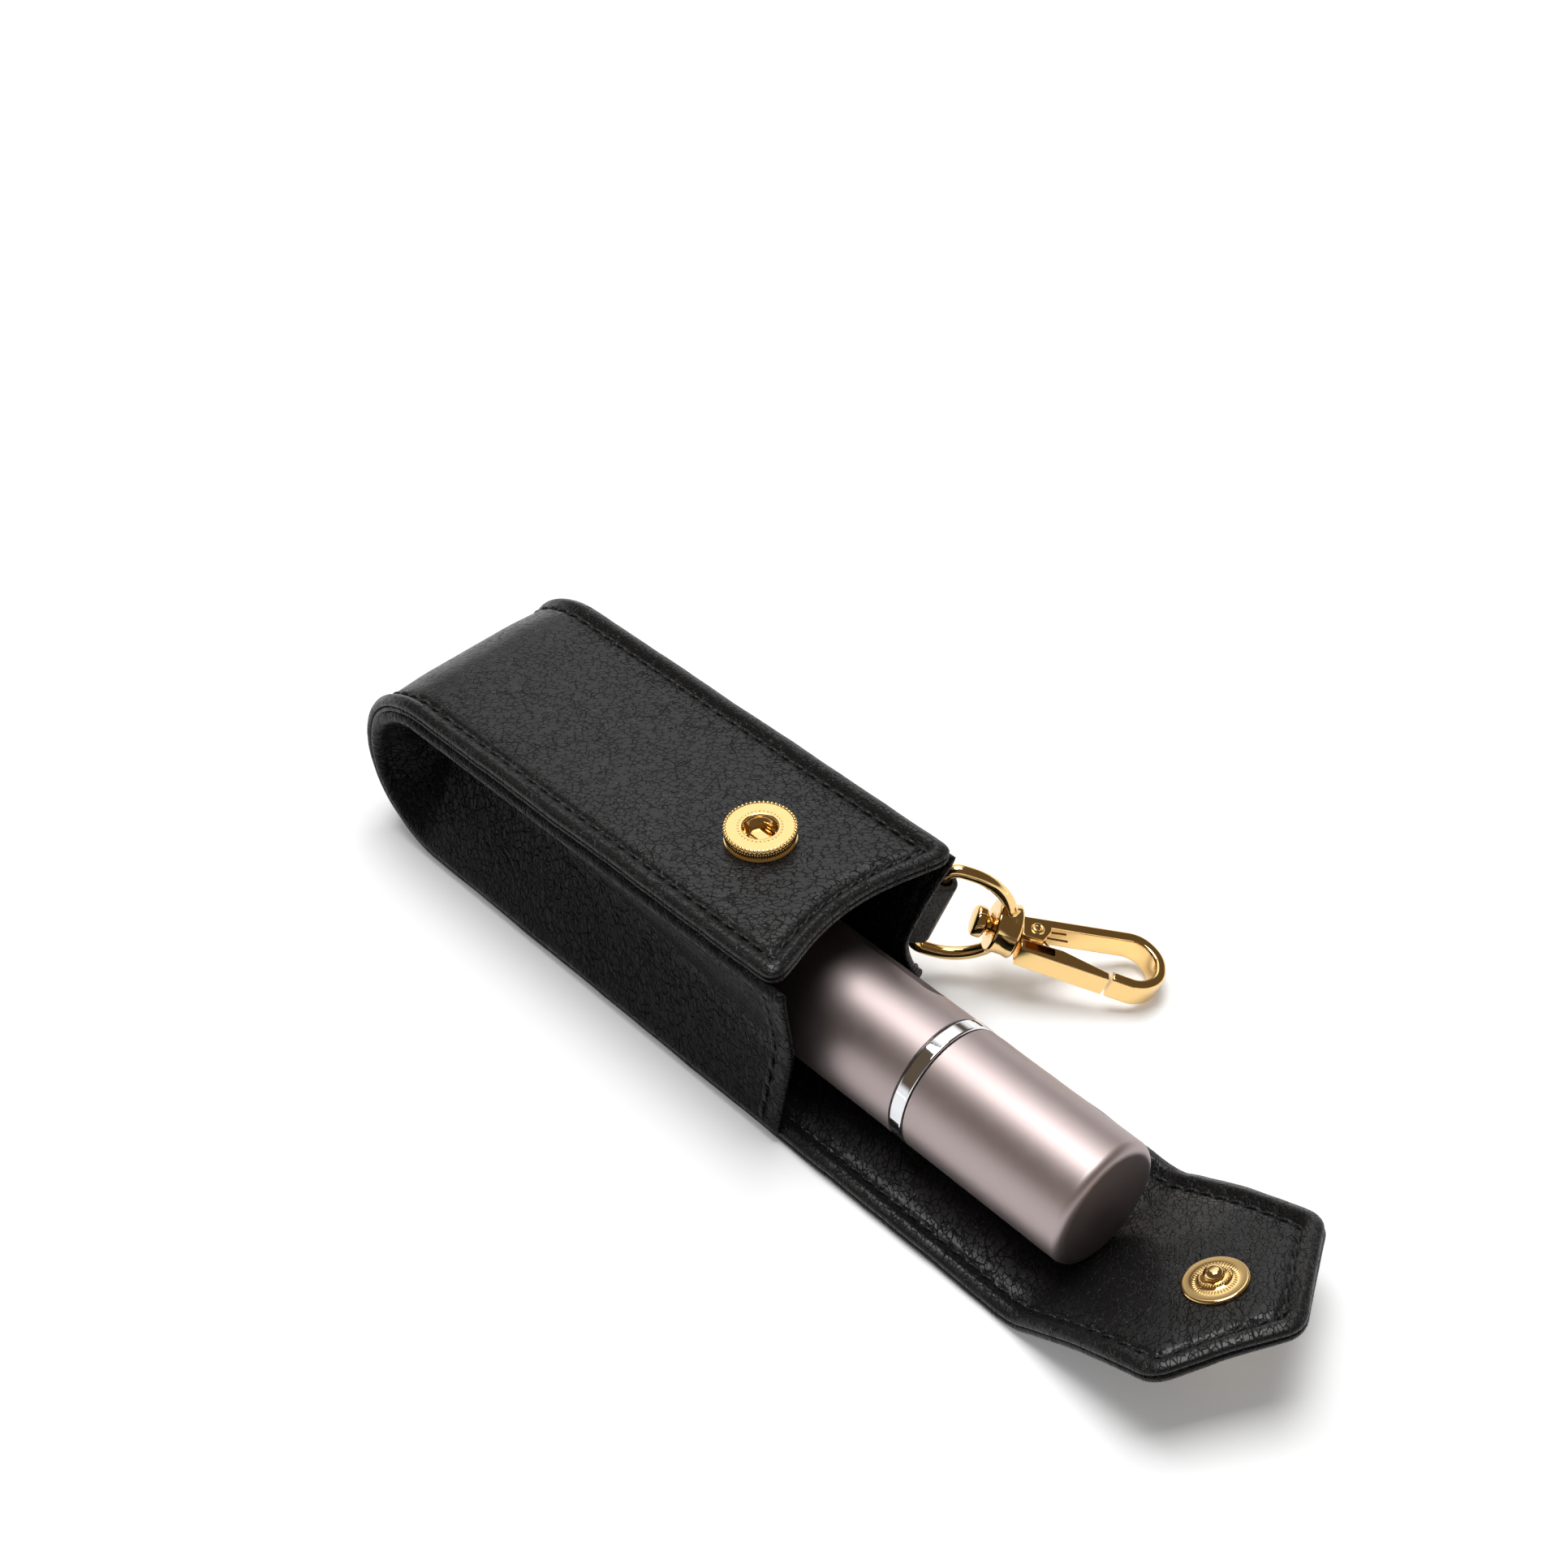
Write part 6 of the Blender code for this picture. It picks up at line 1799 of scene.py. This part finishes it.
def sleeve_mesh():
    """Sleeve with its window cut out."""
    start, end = along_axis("atomizer_sleeve")
    inner, edge = ATOMIZER_RADIUS - SLEEVE_WALL, ATOMIZER_RADIUS - TUBE_EDGE
    tube = [(inner, end)]
    tube += arc_points((edge, end - TUBE_EDGE), TUBE_EDGE, 90, 0, 4)
    tube += arc_points((edge, start + TUBE_EDGE), TUBE_EDGE, 0, -90, 4)
    tube.append((inner, start))
    window = window_mesh(end + RING_GAP - WINDOW_DROP)
    return combined(turned_mesh("sleeve", tube, ATOMIZER_STEPS), [("DIFFERENCE", window)])


def cap_mesh():
    """Hollow cap with a rounded end."""
    start, end = along_axis("atomizer_cap")
    inner = ATOMIZER_RADIUS - CAP_WALL
    cap = [(0.0, end)]
    cap += arc_points((ATOMIZER_RADIUS - CAP_FILLET, end - CAP_FILLET), CAP_FILLET, 90, 0, 14)
    cap += arc_points((ATOMIZER_RADIUS - TUBE_EDGE, start + TUBE_EDGE), TUBE_EDGE, 0, -90, 4)
    cap += [(inner, start), (inner, end - CAP_CORNER[1]), (ATOMIZER_RADIUS - CAP_CORNER[0], end - CAP_TOP),
            (0.0, end - CAP_TOP)]
    return turned_mesh("cap", cap, ATOMIZER_STEPS)


def ring_mesh():
    """Ring between sleeve and cap, with the collar that the cap grips."""
    low, top = along_axis("collar_ring")
    start = along_axis("atomizer_sleeve")[1] + RING_GAP
    end = along_axis("atomizer_cap")[0] - RING_GAP
    edge = ATOMIZER_RADIUS - RING_EDGE_IN
    ring = [(RING_BORE, top), (RING_GRIP, top), (RING_GRIP, end)]
    ring += arc_points((edge, end - RING_EDGE_IN), RING_EDGE, 90, 0, 6)
    ring += arc_points((edge, start + RING_EDGE_IN), RING_EDGE, 0, -90, 6)
    ring += [(RING_SEAT, start), (RING_SEAT, low), (RING_BORE, low)]
    return turned_mesh("ring", ring, ATOMIZER_STEPS)


class CASE_OT_atomizer(Operator):
    """Make the sleeve with its window, the ring and the cap."""

    bl_idname = "case.atomizer"
    bl_label = "Atomizer"

    def execute(self, context):
        for name, mesh, finish, slot, body, replaced in (
            ("mauve_sleeve", sleeve_mesh(), "mauve", "mauve_metal", "atomizer", "atomizer_sleeve"),
            ("mauve_cap", cap_mesh(), "mauve", "mauve_metal", "cap", "atomizer_cap"),
            ("chrome_ring", ring_mesh(), "chrome", "chrome_metal", "atomizer", "collar_ring"),
        ):
            mesh.transform(atomizer_place())
            fitted(name, mesh, finish, slot, body, replaced)
        return {"FINISHED"}


INNER_FINISHES = {
    "inner_bottle": "clear", "dip_tube": "clear", "pump_housing": "white", "pump_stem": "white",
    "cap_liner": "white", "spray_button": "white", "base_plug": "white", "refill_pin": "white",
    "nozzle_insert": "steel", "gate_spring": "gold", "socket_spring": "gold", "stud_cap": "gold",
}
PressedCoil = namedtuple("PressedCoil", "name node joint")
PRESSED_COILS = (
    PressedCoil("pump_coil", "pump_spring", "spray_press"),
    PressedCoil("refill_coil", "refill_spring", "refill_press"),
)
RIVET_LOWERED = 0.00027
MERGED = 0.0000001


def copied_mesh(name):
    """Copy the mesh of a node, with its loose triangles merged."""
    source = frame["nodes"][name]
    shape = bmesh.new()
    shape.from_mesh(source.data)
    shape.transform(source.matrix_world)
    bmesh.ops.remove_doubles(shape, verts=shape.verts, dist=MERGED)
    return shape_mesh(name, shape)


def pressed_coil(coil):
    """Make a spring in place of its node, from a copy of the node's mesh."""
    made = fitted(coil.name, copied_mesh(coil.node), "steel", "spring_steel", "atomizer", coil.node)
    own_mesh(made)


def snap_rivet():
    """Make the rivet that holds the socket, its top low enough to leave room for the stud's ball."""
    place = socket_place()
    upright = place.inverted()
    mesh = copied_mesh("socket_rivet")
    for vertex in mesh.vertices:
        point = upright @ vertex.co
        if point.z > 0.0:
            point.z -= RIVET_LOWERED
        vertex.co = place @ point
    fitted("snap_rivet", mesh, "gold", "spring_steel", "case", "socket_rivet")


class CASE_OT_inner_works(Operator):
    """Finish the pump, springs, rivets and valve."""

    bl_idname = "case.inner_works"
    bl_label = "Inner works"

    def execute(self, context):
        for name, finish in INNER_FINISHES.items():
            piece = frame["nodes"][name]
            for slot in piece.material_slots:
                slot.material = FINISHES[finish]
        for coil in PRESSED_COILS:
            pressed_coil(coil)
        snap_rivet()
        return {"FINISHED"}


# Surroundings: the levels seen in reflections, the paper and the camera
CEILING = (0.12, 0.090, 0.060, 1.0)
HORIZON_EDGE = (0.10, 0.30)
SOFTBOX_TOWARDS = (-0.53, 0.50, 0.685)
SOFTBOX_EDGE = (0.890, 0.965)
SOFTBOX_LEVEL = 1.4
FLOOR_WHITE = 1.0
FLOOR_BOUNCE = 0.12
FLOOR_GLOW = 0.17
FLOOR_FAR = (0.20, 0.50)
FLOOR_REACH = 3.0
FLOOR_DROP = 0.0001
PAPER = {"Roughness": 0.9, "Specular IOR Level": 0.1}
CAMERA_SHIFT = (-0.01403, 0.00216)
SENSOR_WIDTH = 36.0
CLIP_START = 0.01


def stepped(tree, value, start, end, low, high):
    """Give a soft step from one level to another."""
    inputs = {"Value": value, "From Min": start, "From Max": end, "To Min": low, "To Max": high}
    made = node(tree, "ShaderNodeMapRange", inputs, interpolation_type="SMOOTHSTEP")
    return made.outputs["Result"]


def backdrop_world(ambient):
    """White all round for the camera; in reflections a white horizon and one soft box under a dim ceiling."""
    world = bpy.data.worlds.new("studio")
    bpy.context.scene.world = world
    world.use_nodes = True
    tree = world.node_tree
    tree.nodes.clear()
    rays = node(tree, "ShaderNodeLightPath")
    seen = math(tree, "MAXIMUM", rays.outputs["Is Camera Ray"], rays.outputs["Is Transmission Ray"])
    look = node(tree, "ShaderNodeTexCoord").outputs["Generated"]
    height = node(tree, "ShaderNodeSeparateXYZ", {0: look}).outputs["Z"]
    facing = node(tree, "ShaderNodeVectorMath", {0: look, 1: SOFTBOX_TOWARDS}, operation="DOT_PRODUCT")
    horizon = stepped(tree, height, *HORIZON_EDGE, 1.0, 0.0)
    softbox = stepped(tree, facing.outputs["Value"], *SOFTBOX_EDGE, 0.0, SOFTBOX_LEVEL)
    mirrored = mixed_colour(tree, math(tree, "MAXIMUM", horizon, softbox), CEILING, grey(1.0), clamp=False)
    shown = mixed_colour(tree, rays.outputs["Is Glossy Ray"], grey(ambient), mirrored)
    around = node(tree, "ShaderNodeBackground", {"Color": shown, "Strength": 1.0})
    white = node(tree, "ShaderNodeBackground", {"Color": grey(1.0), "Strength": 1.0})
    mixed = node(tree, "ShaderNodeMixShader", {0: seen, 1: around.outputs[0], 2: white.outputs[0]})
    node(tree, "ShaderNodeOutputWorld", {"Surface": mixed.outputs[0]})


def floor_material():
    """Matt white paper, which camera and metal see as white where no shadow falls."""
    finish, tree, shader = new_material("white_paper", PAPER)
    rays = node(tree, "ShaderNodeLightPath")
    paper = mixed_colour(tree, rays.outputs["Is Diffuse Ray"], grey(FLOOR_WHITE), grey(FLOOR_BOUNCE))
    tree.links.new(paper, shader.inputs["Base Color"])
    direct = math(tree, "MAXIMUM", rays.outputs["Is Camera Ray"], rays.outputs["Is Transmission Ray"])
    seen = math(tree, "MAXIMUM", direct, rays.outputs["Is Glossy Ray"])
    spot = node(tree, "ShaderNodeTexCoord").outputs["Object"]
    away = node(tree, "ShaderNodeVectorMath", {0: spot}, operation="LENGTH").outputs["Value"]
    level = stepped(tree, away, *FLOOR_FAR, FLOOR_GLOW, 1.0)
    strength = math(tree, "MULTIPLY", seen, level)
    glow = node(tree, "ShaderNodeEmission", {"Color": grey(1.0), "Strength": strength})
    both = node(tree, "ShaderNodeAddShader", {0: shader.outputs[0], 1: glow.outputs[0]})
    tree.links.new(both.outputs[0], tree.nodes["Material Output"].inputs["Surface"])
    return finish


def add_floor():
    """Lay the paper just under the object."""
    mesh = bpy.data.meshes.new("floor")
    corners = [(x * FLOOR_REACH, y * FLOOR_REACH, 0.0) for x, y in ((-1, -1), (1, -1), (1, 1), (-1, 1))]
    mesh.from_pydata(corners, [], [(0, 1, 2, 3)])
    mesh.materials.append(floor_material())
    floor = held("floor", mesh)
    floor.location.z = CAD_BOX[0].z - FLOOR_DROP


def add_light(stage):
    """Hang one square soft light that faces the object."""
    lamp = bpy.data.lights.new("key_light", "AREA")
    lamp.energy = stage.key_power
    lamp.size = stage.key_size
    holder = held("key_light", lamp)
    holder.location = stage.key_place
    holder.rotation_euler = (Vector(stage.aim) - Vector(stage.key_place)).to_track_quat("-Z", "Y").to_euler()


def add_camera(stage):
    """Set up the camera at the photo's angle."""
    turn, rise = stage.azimuth, stage.elevation
    back = Vector((sin(turn) * cos(rise), -cos(turn) * cos(rise), sin(rise)))
    right = Vector((cos(turn), sin(turn), 0.0))
    up = back.cross(right)
    camera_x = right * cos(stage.roll) - up * sin(stage.roll)
    camera_y = right * sin(stage.roll) + up * cos(stage.roll)
    lens = bpy.data.cameras.new("photo_camera")
    lens.lens = stage.lens
    lens.sensor_width = SENSOR_WIDTH
    lens.shift_x, lens.shift_y = CAMERA_SHIFT
    lens.clip_start = CLIP_START
    place = Matrix((camera_x, camera_y, back)).transposed().to_4x4()
    place.translation = Vector(stage.aim) + back * stage.distance
    camera = held("photo_camera", lens)
    camera.matrix_world = place
    bpy.context.scene.camera = camera


class CASE_OT_stage(Operator):
    """Make the floor, the soft light and the camera."""

    bl_idname = "case.stage"
    bl_label = "Stage"

    def execute(self, context):
        stage = context.scene.case_stage
        add_floor()
        backdrop_world(stage.ambient)
        add_light(stage)
        add_camera(stage)
        context.scene.view_settings.view_transform = "Standard"
        return {"FINISHED"}


class CASE_PT_panel(Panel):
    """Lists the makers of the case."""

    bl_idname = "CASE_PT_panel"
    bl_label = "Leather atomizer case"
    bl_space_type = "VIEW_3D"
    bl_region_type = "UI"
    bl_category = "Case"

    def draw(self, context):
        for maker in MAKERS:
            self.layout.operator(maker.bl_idname)


MAKERS = (CASE_OT_stage, CASE_OT_leather, CASE_OT_sewing, CASE_OT_gussets, CASE_OT_tab, CASE_OT_snap,
          CASE_OT_eye, CASE_OT_hook, CASE_OT_atomizer, CASE_OT_inner_works)
SETTINGS = {"case_leather": LeatherFinish, "case_metal": MetalFinish, "case_stage": StageSettings}


def register():
    """Register the settings, the makers and the panel."""
    for name, kind in SETTINGS.items():
        bpy.utils.register_class(kind)
        setattr(bpy.types.Scene, name, PointerProperty(type=kind))
    for kind in (*MAKERS, CASE_PT_panel):
        bpy.utils.register_class(kind)


def unregister():
    """Take back what register did."""
    for kind in (CASE_PT_panel, *reversed(MAKERS)):
        bpy.utils.unregister_class(kind)
    for name, kind in SETTINGS.items():
        delattr(bpy.types.Scene, name)
        bpy.utils.unregister_class(kind)


def main():
    """Make every piece."""
    register()
    make_finishes()
    bpy.ops.case.stage()
    bpy.ops.case.leather()
    bpy.ops.case.sewing()
    bpy.ops.case.gussets()
    bpy.ops.case.tab()
    bpy.ops.case.snap()
    bpy.ops.case.eye()
    bpy.ops.case.hook()
    bpy.ops.case.atomizer()
    bpy.ops.case.inner_works()


if __name__ == "__main__":
    main()
